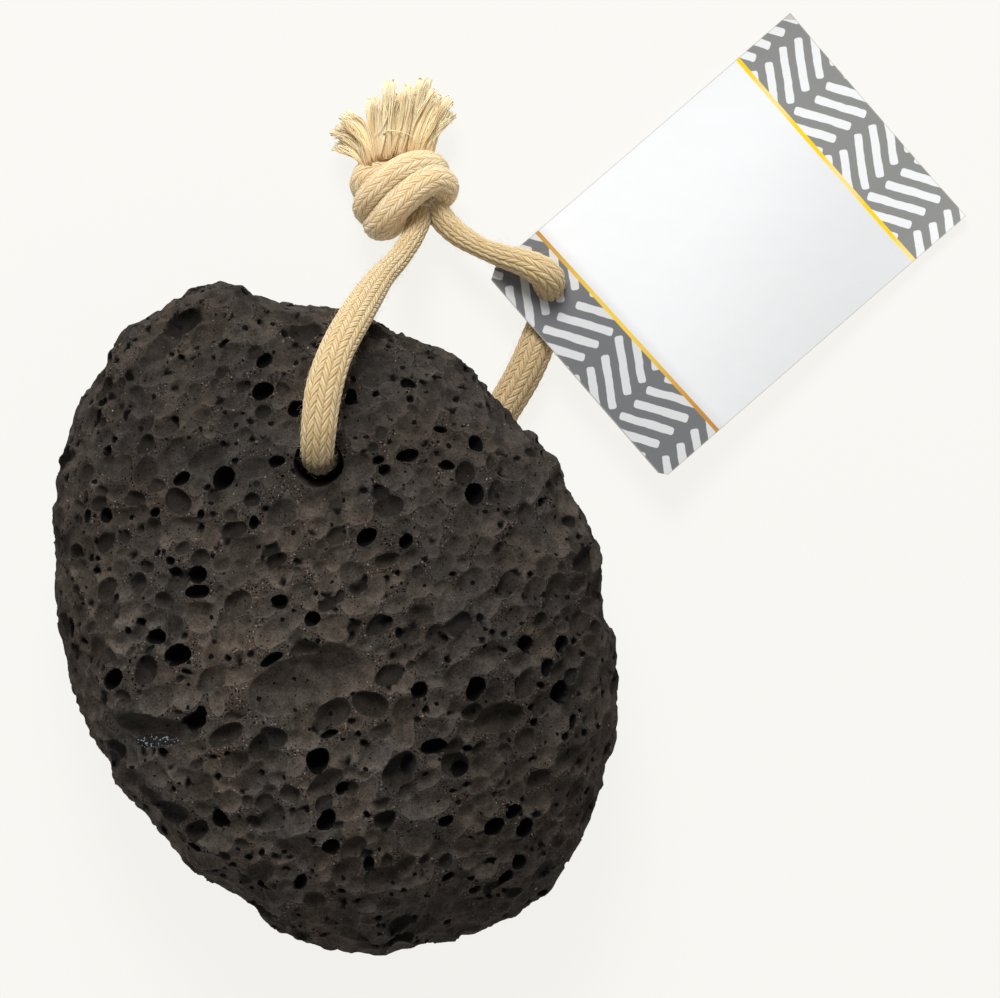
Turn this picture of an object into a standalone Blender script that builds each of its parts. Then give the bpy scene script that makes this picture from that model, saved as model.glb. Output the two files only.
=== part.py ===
"""A worn pumice stone on a loop of braided cord, with an overhand knot, frayed ends and a paper tag.

The stone lies on its worn facet at Z = 0, face up. +Y runs along the stone to its drilled end, and the
origin is under the middle of the stone's outline. Sizes are written in millimetres and scaled by MM.
"""
import math
import random

import bmesh
import bpy
from mathutils import Matrix, Vector

MM = 0.001
CLEARANCE = 0.3  # gap kept between pieces that touch

# ---- Stone: driving dimensions --------------------------------------------------------------------
STONE_OUTLINE = [  # the widest outline seen from above, clockwise from the corner left of the drilled end
    (-15.6, 47.2), (-13.8, 47.0), (-11.9, 46.1), (-9.1, 44.7), (-7.0, 44.2), (-2.2, 43.7),
    (0.1, 43.0), (5.6, 41.9), (9.0, 40.5), (13.1, 38.4), (17.3, 35.7), (21.9, 31.8),
    (23.7, 30.3), (24.9, 28.7), (25.9, 26.8), (27.3, 26.1), (31.2, 21.4), (32.8, 18.0),
    (34.4, 14.8), (37.2, 9.0), (37.4, 7.9), (36.7, 4.4), (37.0, 2.8), (37.3, 0.5),
    (38.3, -0.8), (38.9, -3.9), (39.2, -7.2), (39.0, -17.0), (37.4, -21.8), (37.4, -23.3),
    (34.8, -28.8), (34.4, -30.4), (32.6, -33.6), (29.8, -37.4), (25.6, -40.7), (21.5, -43.1),
    (17.3, -44.0), (16.5, -44.7), (13.7, -45.0), (10.6, -46.3), (9.3, -46.1), (6.9, -47.2),
    (2.7, -46.8), (-2.2, -45.6), (-8.7, -43.1), (-10.9, -40.8), (-15.2, -37.9), (-18.5, -36.3),
    (-21.6, -33.3), (-25.8, -28.3), (-30.9, -21.8), (-30.6, -21.0), (-31.2, -19.6), (-33.7, -16.8),
    (-36.2, -10.6), (-37.4, -6.3), (-38.3, -1.4), (-39.2, 6.1), (-38.7, 7.2), (-39.2, 8.9),
    (-39.2, 13.6), (-39.0, 16.7), (-38.3, 21.5), (-34.9, 30.8), (-31.0, 37.5), (-28.5, 40.5),
    (-22.0, 44.0), (-20.8, 45.1), (-17.4, 46.4),
]
STONE_HEIGHT = 36.0
WAIST_HEIGHT = 15.5  # height of the widest section at the middle of the stone
WAIST_SLOPE = 0.07  # the widest section climbs towards the drilled end
CROWN_CENTRE = (-2.0, -4.0)
CROWN_REACH = (39.0, 47.0)
CROWN_FALL = (1.5, 2.5)  # how far the face falls from its crown over each reach
END_LIFT = 14.0  # the underside climbs this far towards the drilled end, clear of the cord
LIFT_DIRECTION = (0.45, 0.89)
LIFT_REACH = 38.0
SECTION_POWER = 2.65  # the section's corner: 2 is an ellipse, and more is squarer
SECTION_POWER_SWING = 0.3
FACET_DEPTH = 0.6  # how much the worn facet takes off the underside
STONE_SEGMENTS = 56
STONE_RINGS = 18

# ---- Stone: hollows ---------------------------------------------------------------------------------
HOLE_TOP = (-1.75, 21.9, 34.4)
HOLE_BOTTOM = (1.6, 27.0, 9.6)
HOLE_RADIUS = 3.2
HOLE_OVERSHOOT = 12.0
HOLE_SIDES = 28
FLOW_TURN = 35.0  # the bubbles were drawn out along this direction, in degrees from +X
# Each hollow is centre x, centre y, half length, half width and turn in degrees.
SCOOP = (-3.8, -7.9, 11.4, 4.3, 22)
SCOOP_DEPTH = 2.2
FURROW = (-24.6, -14.0, 7.6, 1.9, 10)
FURROW_DEPTH = 2.0
DEEP_PITS = [
    (-1.9, -18.7, 1.9, 1.7, 70), (19.7, -9.0, 1.9, 1.3, 65), (31.1, -9.7, 1.7, 1.3, 80),
    (-0.6, -27.0, 1.8, 1.4, 60), (-21.0, -4.4, 2.1, 1.6, 20), (-30.2, -7.9, 1.7, 1.3, 30),
    (-14.7, 19.6, 1.8, 1.5, 50), (-9.3, 31.4, 1.6, 1.3, 35), (19.4, 17.5, 1.7, 1.4, 60),
    (4.8, 11.7, 1.8, 1.2, 50), (10.5, 22.8, 1.8, 1.2, 20), (22.1, -28.1, 1.8, 1.4, 30),
    (26.4, -28.3, 1.6, 1.2, 50), (-15.5, -27.1, 1.5, 1.3, 90),
]
BOWL_PITS = [
    (-25.6, 24.3, 1.7, 1.5, 60), (-29.0, 21.2, 2.1, 1.6, 45), (-21.0, 16.5, 2.1, 1.8, 150),
    (22.4, 17.8, 1.8, 1.3, 50), (26.5, 14.6, 2.1, 1.4, 75), (7.7, 15.9, 2.5, 1.8, 25),
    (-12.6, 2.7, 2.4, 1.8, 40), (-25.4, -6.6, 2.5, 1.7, 60), (-14.5, -15.3, 2.9, 1.6, 30),
    (-7.8, -15.5, 2.5, 1.5, -10), (-22.8, -26.2, 3.2, 2.0, 20), (6.6, -0.4, 2.2, 1.3, 30),
    (22.7, -13.2, 3.6, 2.2, 15), (5.2, -11.2, 2.7, 1.9, -15), (16.8, -19.3, 2.2, 2.0, -20),
    (9.2, -20.1, 3.1, 2.1, 50), (33.4, -23.2, 2.7, 1.1, 60), (18.5, 14.1, 2.9, 2.2, 35),
    (-7.4, -0.9, 3.9, 2.1, 38), (12.5, -25.0, 3.7, 2.1, 10),
]
DEEP_RATIO = 1.5  # depth of a pit as a share of its half width
BOWL_RATIO = 0.8
PIT_SINK = 0.25  # a pit's centre lies this share of its depth below the skin
PIT_SUBDIVISIONS = 2
SIDE_PITS = 7  # more pits round the flanks and under the stone, placed by a seeded draw
UNDER_PITS = 8
PIT_SEED = 7

# ---- Cord: route and thickness ------------------------------------------------------------------------
# Each point is x, y, z and the cord's radius there. The cord runs from the knot over the stone's end,
# down the drilled hole, out under the stone, up through the tag's hole and back to the knot.
CORD_ROUTE = [
    (10.6, 53.7, 7.2, 1.55), (9.45, 51.7, 9.4, 1.55), (8.2, 49.8, 12.4, 1.60), (6.4, 47.6, 17.0, 1.80),
    (4.65, 44.7, 22.8, 2.15), (3.15, 41.9, 28.0, 2.30), (1.75, 39.2, 32.0, 2.35), (0.5, 36.4, 35.2, 2.35),
    (-0.35, 33.8, 36.9, 2.45), (-0.95, 31.4, 37.7, 2.50), (-1.35, 28.8, 38.1, 2.45), (-1.6, 26.4, 38.0, 2.40),
    (-1.8, 24.1, 36.9, 2.30), (-1.9, 22.6, 34.6, 2.25), (-1.6, 22.3, 31.5, 2.25), (-1.0, 23.1, 27.0, 2.30),
    (-0.1, 24.5, 21.0, 2.30), (0.8, 25.8, 15.5, 2.30), (1.5, 26.7, 11.8, 2.30), (2.3, 27.1, 9.0, 2.30),
    (3.6, 27.1, 6.6, 2.30), (5.6, 26.7, 4.8, 2.35), (8.3, 25.9, 3.5, 2.35), (11.4, 25.0, 2.8, 2.40),
    (14.8, 24.5, 2.6, 2.40), (18.2, 25.0, 2.65, 2.45), (21.4, 27.0, 2.7, 2.50), (24.0, 30.7, 2.7, 2.50),
    (26.5, 35.1, 2.75, 2.55), (28.5, 39.8, 2.7, 2.50), (29.6, 43.0, 2.7, 2.30), (29.85, 45.8, 3.5, 2.05),
    (29.75, 46.9, 5.6, 2.05), (29.5, 47.9, 7.6, 2.15), (28.2, 49.0, 8.6, 2.10), (25.8, 50.1, 8.4, 1.90),
    (23.4, 50.8, 7.9, 1.65), (20.2, 52.1, 6.8, 1.45), (17.2, 53.9, 5.4, 1.65), (15.2, 55.7, 5.0, 1.75),
]
CORD_STEP = 3.0  # length of one straight piece of the tube

# ---- Knot: its two strands, which lie side by side over the front ------------------------------------
KNOT_RADIUS = 2.05
KNOT_STRANDS = [
    [
        (10.8, 54.4, 6.5), (11.7, 57.0, 5.2), (11.6, 59.5, 4.6), (9.3, 61.7, 4.4), (6.5, 63.1, 4.6),
        (4.0, 62.8, 4.8), (3.3, 61.2, 3.8), (4.8, 59.4, 2.4), (7.9, 59.0, 2.2), (11.3, 60.7, 2.2),
        (13.8, 62.9, 3.4), (13.6, 64.5, 6.0), (10.9, 64.2, 8.2), (8.1, 62.6, 8.8), (5.7, 60.4, 8.2),
        (4.0, 58.3, 6.2), (4.1, 56.8, 3.6), (5.9, 57.3, 2.8),
    ],
    [
        (14.6, 56.2, 4.9), (13.1, 58.1, 4.4), (11.0, 60.3, 4.2), (8.2, 62.3, 3.6), (5.3, 61.5, 2.8),
        (4.5, 59.5, 2.2), (7.0, 57.3, 2.2), (10.8, 58.2, 2.2), (14.0, 59.7, 3.0), (15.2, 61.0, 5.2),
        (13.6, 62.2, 7.9), (11.3, 60.7, 8.9), (9.0, 58.2, 8.8), (7.5, 55.7, 6.9), (6.4, 54.9, 4.4),
        (7.7, 55.7, 2.8), (9.0, 58.4, 3.6), (9.1, 61.7, 4.8), (8.6, 64.0, 5.0),
    ],
]
KNOT_CORE = ((9.2, 60.0, 5.2), (4.6, 4.2, 3.4))  # centre and half sizes of the packed middle
KNOT_VOXEL = 0.5
KNOT_TRIANGLES = 1240

# ---- Frayed ends: tufts, each a start, an end, the radius at both and the flatness -------------------
TUFTS = [
    ((8.6, 67.2, 4.6), (8.9, 75.4, 4.2), 2.9, 4.6, 0.60),
    ((7.4, 67.0, 4.2), (0.6, 70.5, 3.2), 2.3, 2.8, 0.80),
    ((10.4, 67.0, 4.2), (15.4, 72.9, 3.6), 2.2, 2.4, 0.85),
]
TUFT_SIDES = 20
TUFT_VOXEL = 0.55
TUFT_TRIANGLES = 620

# ---- Tag ------------------------------------------------------------------------------------------------
TAG_LENGTH = 57.0
TAG_WIDTH = 38.0
TAG_THICKNESS = 0.5
TAG_CLIPS = [(1.6, 1.0), (0.9, 1.1)]  # cut off the threaded end's two corners, along and across
TAG_HOLE = (5.6, 6.9)  # from the threaded end's upper corner, along and across
TAG_HOLE_RADIUS = 2.65
TAG_HOLE_SIDES = 24
TAG_CORNER = (20.95, 48.35)  # where the threaded end's upper corner is, seen from above
TAG_TURN = 40.9
TAG_LOW = 0.15  # height of the underside at the far end, which lies on the table
TAG_HIGH = 5.65  # and at the threaded end, which lies on the cord

COLOURS = {  # linear red, green and blue, and roughness
    "stone": (0.052, 0.045, 0.040, 0.95),
    "cord": (0.70, 0.56, 0.36, 0.90),
    "tag": (0.62, 0.62, 0.62, 0.75),
}


# ---- Scene helpers --------------------------------------------------------------------------------------
def clear_scene():
    for item in list(bpy.data.objects):
        bpy.data.objects.remove(item)


def new_collection(name):
    group = bpy.data.collections.new(name)
    bpy.context.scene.collection.children.link(group)
    return group


def new_material(name):
    red, green, blue, roughness = COLOURS[name]
    material = bpy.data.materials.new(name)
    material.use_nodes = True
    shader = material.node_tree.nodes["Principled BSDF"]
    shader.inputs["Base Color"].default_value = (red, green, blue, 1.0)
    shader.inputs["Roughness"].default_value = roughness
    shader.inputs["Metallic"].default_value = 0.0
    material.diffuse_color = (red, green, blue, 1.0)
    return material


def object_from_bmesh(bm, name, group, material=None):
    mesh = bpy.data.meshes.new(name)
    bm.to_mesh(mesh)
    bm.free()
    if material:
        mesh.materials.append(material)
        mesh.shade_smooth()
    item = bpy.data.objects.new(name, mesh)
    group.objects.link(item)
    return item


def as_cutter(item):
    item.hide_render = True
    item.display_type = "WIRE"
    return item


def subtract(item, cutter):
    cut = item.modifiers.new("cut " + cutter.name, "BOOLEAN")
    cut.operation = "DIFFERENCE"
    cut.object = cutter


# ---- Smooth routes --------------------------------------------------------------------------------------
def catmull_rom(before, start, end, after, t):
    """A point of the curve from start to end. The four points may hold more than three numbers."""
    return [
        0.5 * (2 * b + (c - a) * t + (2 * a - 5 * b + 4 * c - d) * t**2 + (3 * b - a - 3 * c + d) * t**3)
        for a, b, c, d in zip(before, start, end, after)
    ]


def smooth_route(points, step):
    """Points about one step apart along the smooth curve through the given points."""
    fine = []
    for i in range(len(points) - 1):
        before, after = points[max(i - 1, 0)], points[min(i + 2, len(points) - 1)]
        fine += [catmull_rom(before, points[i], points[i + 1], after, k / 16) for k in range(16)]
    fine.append(list(points[-1]))
    along = [0.0]
    for a, b in zip(fine, fine[1:]):
        along.append(along[-1] + math.dist(a[:3], b[:3]))
    count = round(along[-1] / step)
    route, i = [], 0
    for k in range(count + 1):
        wanted = along[-1] * k / count
        while i < len(fine) - 2 and along[i + 1] < wanted:
            i += 1
        t = (wanted - along[i]) / (along[i + 1] - along[i])
        route.append([a + (b - a) * t for a, b in zip(fine[i], fine[i + 1])])
    return route


def tube(route, name, group, material=None):
    """A round tube with filled caps along points that hold x, y, z and a radius."""
    curve = bpy.data.curves.new(name, "CURVE")
    curve.dimensions = "3D"
    curve.bevel_depth = MM
    curve.bevel_resolution = 3
    curve.use_fill_caps = True
    spline = curve.splines.new("POLY")
    spline.points.add(len(route) - 1)
    for point, (x, y, z, radius) in zip(spline.points, route):
        point.co = (x * MM, y * MM, z * MM, 1.0)
        point.radius = radius
    spline.use_smooth = True
    if material:
        curve.materials.append(material)
    item = bpy.data.objects.new(name, curve)
    group.objects.link(item)
    return item


def mesh_of(item):
    """The evaluated mesh of an object in world space, with its caps welded. The object is removed."""
    evaluated = item.evaluated_get(bpy.context.evaluated_depsgraph_get())
    mesh = bpy.data.meshes.new_from_object(evaluated)
    mesh.transform(item.matrix_world)
    bpy.data.objects.remove(item)
    bm = bmesh.new()
    bm.from_mesh(mesh)
    bmesh.ops.remove_doubles(bm, verts=bm.verts, dist=0.00001)
    bm.to_mesh(mesh)
    bm.free()
    return mesh


def fuse(bm, name, group, material, voxel, triangles):
    """One closed skin round overlapping bodies, brought down to a number of triangles."""
    item = object_from_bmesh(bm, name, group, material)
    skin = item.modifiers.new("skin", "REMESH")
    skin.mode = "VOXEL"
    skin.voxel_size = voxel * MM
    skin.use_smooth_shade = True
    evaluated = item.evaluated_get(bpy.context.evaluated_depsgraph_get())
    fewer = item.modifiers.new("fewer", "DECIMATE")
    fewer.ratio = triangles / (2 * len(evaluated.data.polygons))
    return item


# ---- Stone ----------------------------------------------------------------------------------------------
def half_width(angle):
    """Distance from the middle to the stone's widest outline, in the direction of this angle."""
    dx, dy = math.cos(angle), math.sin(angle)
    reach = 0.0
    for (ax, ay), (bx, by) in zip(STONE_OUTLINE, STONE_OUTLINE[1:] + STONE_OUTLINE[:1]):
        ex, ey = bx - ax, by - ay
        cross = ex * dy - ey * dx
        if abs(cross) < 1e-9:
            continue
        along_edge = (dx * ay - dy * ax) / cross
        distance = (ex * ay - ey * ax) / cross
        if 0.0 <= along_edge <= 1.0:
            reach = max(reach, distance)
    return reach


def waist(y):
    return WAIST_HEIGHT + WAIST_SLOPE * y


def crown(x, y):
    across = (x - CROWN_CENTRE[0]) / CROWN_REACH[0]
    along = (y - CROWN_CENTRE[1]) / CROWN_REACH[1]
    return STONE_HEIGHT - CROWN_FALL[0] * across**2 - CROWN_FALL[1] * along**2


def underside(x, y):
    t = (x * LIFT_DIRECTION[0] + y * LIFT_DIRECTION[1]) / LIFT_REACH
    t = min(max(t, 0.0), 1.0)
    return END_LIFT * t * t * (3 - 2 * t)


def section_power(angle):
    return SECTION_POWER + SECTION_POWER_SWING * math.sin(angle)


def skin_height(x, y, on_top=True):
    """Height of the unbroken skin above a point of the plan."""
    angle = math.atan2(y, x)
    share = min(math.hypot(x, y) / half_width(angle), 1.0)
    power = section_power(angle)
    rise = (1 - share**power) ** (1 / power)
    if on_top:
        return waist(y) + rise * (crown(x, y) - waist(y)) - FACET_DEPTH
    return max(waist(y) - rise * (waist(y) - underside(x, y)) - FACET_DEPTH, 0.0)


def skin_frame(x, y, on_top=True):
    """A point of the skin, in millimetres, and the outward direction there."""
    step = 0.3
    height = skin_height(x, y, on_top)
    slope_x = (skin_height(x + step, y, on_top) - skin_height(x - step, y, on_top)) / (2 * step)
    slope_y = (skin_height(x, y + step, on_top) - skin_height(x, y - step, on_top)) / (2 * step)
    outward = Vector((-slope_x, -slope_y, 1.0)).normalized()
    return Vector((x, y, height)), outward if on_top else -outward


def stone_skin(direction):
    """Moves a point of a unit sphere to the stone's skin."""
    level = math.hypot(direction.x, direction.y)
    angle = math.atan2(direction.y, direction.x)
    power = section_power(angle)
    scale = (level**power + abs(direction.z) ** power) ** (-1 / power)
    share = level * scale
    rise = abs(direction.z) * scale
    reach = share * half_width(angle)
    x, y = reach * math.cos(angle), reach * math.sin(angle)
    if direction.z > 0:
        z = waist(y) + rise * (crown(x, y) - waist(y))
    else:
        z = waist(y) - rise * (waist(y) - underside(x, y))
    return Vector((x, y, max(z - FACET_DEPTH, 0.0))) * MM


def pit_cutter(centre, outward, half_length, half_width_, turn, depth, name, group):
    """An ellipsoid cutter, longest along the turned direction and sunk along the skin's normal."""
    along = Vector((math.cos(math.radians(turn)), math.sin(math.radians(turn)), 0.0))
    along = (along - outward * along.dot(outward)).normalized()
    across = outward.cross(along)
    basis = Matrix((along, across, outward)).transposed().to_4x4()
    size = Matrix.Diagonal((half_length * MM, half_width_ * MM, depth * MM, 1.0))
    sunk = centre - outward * depth * PIT_SINK
    bm = bmesh.new()
    bmesh.ops.create_icosphere(bm, subdivisions=PIT_SUBDIVISIONS, radius=1.0)
    bm.transform(Matrix.Translation(sunk * MM) @ basis @ size)
    return as_cutter(object_from_bmesh(bm, name, group))


def drawn_pits():
    """Seeded pits on the flanks and the underside: a place, the outward direction, sizes and depth."""
    draw = random.Random(PIT_SEED)
    pits = []
    for k in range(SIDE_PITS):
        angle = math.radians(-125 + 250 * (k + draw.uniform(0.2, 0.8)) / SIDE_PITS - 40)
        direction = Vector((math.cos(angle), math.sin(angle), draw.uniform(-0.45, 0.25))).normalized()
        near = stone_skin(direction) / MM
        outward = Vector((near.x, near.y, 12.0 * direction.z)).normalized()
        size = draw.uniform(1.3, 2.3)
        pits.append((near, outward, size, size * 0.75, draw.uniform(60, 120), size * 0.9))
    for k in range(UNDER_PITS):
        turn = k * math.radians(137.5)
        reach = 13.0 + 15.0 * math.sqrt((k + 0.5) / UNDER_PITS)
        x, y = reach * math.cos(turn), 1.1 * reach * math.sin(turn)
        centre, outward = skin_frame(x, y, on_top=False)
        size = draw.uniform(1.3, 2.6)
        pits.append((centre, outward, size, size * 0.75, FLOW_TURN + draw.uniform(-25, 25), size * 0.8))
    return pits


def hole_cutter(group):
    top, bottom = Vector(HOLE_TOP), Vector(HOLE_BOTTOM)
    axis = (top - bottom).normalized()
    length = (top - bottom).length + 2 * HOLE_OVERSHOOT
    bm = bmesh.new()
    bmesh.ops.create_cone(bm, cap_ends=True, segments=HOLE_SIDES, depth=length * MM,
                          radius1=HOLE_RADIUS * MM, radius2=HOLE_RADIUS * MM)
    turn = axis.to_track_quat("Z", "Y").to_matrix().to_4x4()
    bm.transform(Matrix.Translation((top + bottom) / 2 * MM) @ turn)
    return as_cutter(object_from_bmesh(bm, "cut_hole", group))


def make_stone(group, cutters, material):
    bm = bmesh.new()
    bmesh.ops.create_uvsphere(bm, u_segments=STONE_SEGMENTS, v_segments=STONE_RINGS, radius=1.0)
    for vertex in bm.verts:
        vertex.co = stone_skin(vertex.co)
    stone = object_from_bmesh(bm, "stone", group, material)
    shaped = [(SCOOP, SCOOP_DEPTH), (FURROW, FURROW_DEPTH)]
    shaped += [(pit, pit[3] * DEEP_RATIO) for pit in DEEP_PITS]
    shaped += [(pit, pit[3] * BOWL_RATIO) for pit in BOWL_PITS]
    cutter_values = [(*skin_frame(x, y), length, width, turn, depth)
                     for (x, y, length, width, turn), depth in shaped]
    for index, values in enumerate(cutter_values + drawn_pits()):
        subtract(stone, pit_cutter(*values, f"cut_pit_{index:03d}", cutters))
    subtract(stone, hole_cutter(cutters))
    return stone


# ---- Cord, knot and frayed ends -------------------------------------------------------------------------
def make_cord(group, material):
    return tube(smooth_route(CORD_ROUTE, CORD_STEP), "cord", group, material)


def make_knot(group, material):
    bm = bmesh.new()
    for strand in KNOT_STRANDS:
        route = smooth_route([(*point, KNOT_RADIUS) for point in strand], 1.5)
        bm.from_mesh(mesh_of(tube(route, "strand", group)))
    centre, half_sizes = KNOT_CORE
    core = bmesh.ops.create_icosphere(bm, subdivisions=3, radius=MM)["verts"]
    bmesh.ops.transform(bm, matrix=Matrix.Diagonal((*half_sizes, 1.0)), verts=core)
    bmesh.ops.translate(bm, vec=Vector(centre) * MM, verts=core)
    return fuse(bm, "knot", group, material, KNOT_VOXEL, KNOT_TRIANGLES)


def make_frayed_ends(group, material):
    bm = bmesh.new()
    for start, end, start_radius, end_radius, flatness in TUFTS:
        start, end = Vector(start), Vector(end)
        cone = bmesh.ops.create_cone(
            bm, cap_ends=True, segments=TUFT_SIDES, depth=(end - start).length * MM,
            radius1=start_radius * MM, radius2=end_radius * MM)["verts"]
        turn = (end - start).to_track_quat("Z", "Y").to_matrix().to_4x4()
        flat = Matrix.Diagonal((1.0, flatness, 1.0, 1.0))
        bmesh.ops.transform(bm, matrix=Matrix.Translation((start + end) / 2 * MM) @ turn @ flat, verts=cone)
    return fuse(bm, "frayed_ends", group, material, TUFT_VOXEL, TUFT_TRIANGLES)


# ---- Tag ------------------------------------------------------------------------------------------------
def make_tag(group, material):
    """A flat card in its own plane, +X along it and -Y across it, turned and tilted onto the cord."""
    curve = bpy.data.curves.new("tag", "CURVE")
    curve.dimensions = "2D"
    curve.fill_mode = "BOTH"
    curve.extrude = TAG_THICKNESS / 2 * MM
    (upper_along, upper_across), (lower_along, lower_across) = TAG_CLIPS
    outline = [
        (upper_along, 0.0), (TAG_LENGTH, 0.0), (TAG_LENGTH, -TAG_WIDTH), (lower_along, -TAG_WIDTH),
        (0.0, lower_across - TAG_WIDTH), (0.0, -upper_across),
    ]
    hole = [
        (TAG_HOLE[0] + TAG_HOLE_RADIUS * math.cos(turn), -TAG_HOLE[1] + TAG_HOLE_RADIUS * math.sin(turn))
        for turn in (2 * math.pi * k / TAG_HOLE_SIDES for k in range(TAG_HOLE_SIDES))
    ]
    for loop in (outline, hole):
        spline = curve.splines.new("POLY")
        spline.points.add(len(loop) - 1)
        for point, (x, y) in zip(spline.points, loop):
            point.co = (x * MM, y * MM, 0.0, 1.0)
        spline.use_cyclic_u = True
    curve.materials.append(material)
    tag = bpy.data.objects.new("tag", curve)
    group.objects.link(tag)
    tilt = math.asin((TAG_HIGH - TAG_LOW) / TAG_LENGTH)
    tag.location = Vector((*TAG_CORNER, TAG_HIGH + TAG_THICKNESS / 2)) * MM
    tag.rotation_euler = (0.0, tilt, math.radians(TAG_TURN))
    return tag


def main():
    clear_scene()
    pieces = new_collection("pumice_stone_on_cord")
    cutters = new_collection("cutters")
    materials = {name: new_material(name) for name in COLOURS}
    make_stone(pieces, cutters, materials["stone"])
    make_cord(pieces, materials["cord"])
    make_knot(pieces, materials["cord"])
    make_frayed_ends(pieces, materials["cord"])
    make_tag(pieces, materials["tag"])


main()
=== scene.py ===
"""The pumice stone on its braided cord, with the knot, the frayed ends and the paper tag.

Lengths here are millimetres in the frame of the CAD part: the stone lies on Z = 0, +Y runs along it to
its drilled end, and the origin is under the middle of its outline.
"""
import math
import random

import bpy
import numpy as np
import openvdb
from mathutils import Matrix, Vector


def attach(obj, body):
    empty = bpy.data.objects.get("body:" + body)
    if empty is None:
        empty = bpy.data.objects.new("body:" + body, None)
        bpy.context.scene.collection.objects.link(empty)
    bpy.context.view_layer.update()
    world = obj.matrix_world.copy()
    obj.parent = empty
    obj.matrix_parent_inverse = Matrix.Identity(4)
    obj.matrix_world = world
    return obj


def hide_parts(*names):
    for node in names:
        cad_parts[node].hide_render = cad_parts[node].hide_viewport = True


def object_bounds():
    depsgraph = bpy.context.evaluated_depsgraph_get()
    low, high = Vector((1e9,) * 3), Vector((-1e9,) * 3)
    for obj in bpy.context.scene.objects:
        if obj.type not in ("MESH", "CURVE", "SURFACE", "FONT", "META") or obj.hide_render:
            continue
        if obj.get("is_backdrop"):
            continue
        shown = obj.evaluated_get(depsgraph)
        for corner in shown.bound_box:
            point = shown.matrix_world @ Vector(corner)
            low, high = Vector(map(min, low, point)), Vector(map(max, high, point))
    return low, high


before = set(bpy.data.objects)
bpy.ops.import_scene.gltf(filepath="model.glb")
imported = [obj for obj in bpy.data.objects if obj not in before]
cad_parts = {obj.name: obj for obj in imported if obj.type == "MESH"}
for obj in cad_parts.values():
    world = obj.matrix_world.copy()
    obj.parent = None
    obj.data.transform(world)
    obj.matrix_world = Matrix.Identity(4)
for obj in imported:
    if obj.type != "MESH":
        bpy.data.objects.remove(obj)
CAD_BOX = [list(corner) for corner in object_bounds()]
MM = 0.001

# ---- Camera, floor and light: the camera looks straight down ------------------------------------------
CAMERA_PLACE = (22.85, 16.8, 800.0)
CAMERA_LENS = 203.3
CAMERA_SENSOR = 36.0
FLOOR_SIDE = 8000.0
FLOOR_COLOUR = (0.065, 0.065, 0.0625)
FLOOR_LIGHT = (1.0, 0.99, 0.95)
FLOOR_GLOW = 0.866  # the pale floor gives light of its own, which keeps the shadows on it faint
SKY_COLOUR = (1.0, 0.99, 0.97)
SKY_STRENGTH = 0.38
KEY_PLACE = (-60.0, 600.0, 540.0)
KEY_AIM = (0.0, 10.0, 0.0)
KEY_SIZE = 320.0
KEY_POWER = 7.0

# ---- Stone form: the CAD stone's own driving dimensions ---------------------------------------------
STONE_OUTLINE = [
    (-15.6, 47.2), (-13.8, 47.0), (-11.9, 46.1), (-9.1, 44.7), (-7.0, 44.2), (-2.2, 43.7), (0.1, 43.0),
    (5.6, 41.9), (9.0, 40.5), (13.1, 38.4), (17.3, 35.7), (21.9, 31.8), (23.7, 30.3), (24.9, 28.7),
    (25.9, 26.8), (27.3, 26.1), (31.2, 21.4), (32.8, 18.0), (34.4, 14.8), (37.2, 9.0), (37.4, 7.9),
    (36.7, 4.4), (37.0, 2.8), (37.3, 0.5), (38.3, -0.8), (38.9, -3.9), (39.2, -7.2), (39.0, -17.0),
    (37.4, -21.8), (37.4, -23.3), (34.8, -28.8), (34.4, -30.4), (32.6, -33.6), (29.8, -37.4),
    (25.6, -40.7), (21.5, -43.1), (17.3, -44.0), (16.5, -44.7), (13.7, -45.0), (10.6, -46.3),
    (9.3, -46.1), (6.9, -47.2), (2.7, -46.8), (-2.2, -45.6), (-8.7, -43.1), (-10.9, -40.8),
    (-15.2, -37.9), (-18.5, -36.3), (-21.6, -33.3), (-25.8, -28.3), (-30.9, -21.8), (-30.6, -21.0),
    (-31.2, -19.6), (-33.7, -16.8), (-36.2, -10.6), (-37.4, -6.3), (-38.3, -1.4), (-39.2, 6.1),
    (-38.7, 7.2), (-39.2, 8.9), (-39.2, 13.6), (-39.0, 16.7), (-38.3, 21.5), (-34.9, 30.8), (-31.0, 37.5),
    (-28.5, 40.5), (-22.0, 44.0), (-20.8, 45.1), (-17.4, 46.4),
]
STONE_HEIGHT = 36.0
WAIST_HEIGHT = 15.5
WAIST_SLOPE = 0.07
CROWN_CENTRE = (-2.0, -4.0)
CROWN_REACH = (39.0, 47.0)
CROWN_FALL = (1.5, 2.5)
END_LIFT = 14.0
LIFT_DIRECTION = (0.45, 0.89)
LIFT_REACH = 38.0
SECTION_POWER = 2.65
SECTION_POWER_SWING = 0.3
FACET_DEPTH = 0.6
OUTLINE_ANGLES = 1440
VOXEL = 0.25  # pitch of the grid that the stone is carved in
GRID_LOW = (-41.5, -49.5, -2.0)  # the grid's first corner and its far one
GRID_HIGH = (41.5, 49.5, 38.0)
LUMP_HEIGHT = 0.35  # the worn skin's slow swells
LUMP_WAVES = 9
LUMP_LENGTHS = (7.0, 22.0)
LUMP_SEED = 3
SKIN_BAND = (-6.0, 3.0)  # distances from the skin are kept within this range
MESHED_BAND = 3.0
STONE_TRIANGLES = 197000
RIM_ANGLE = 42.0  # edges sharper than this, in degrees, stay crisp

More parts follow.
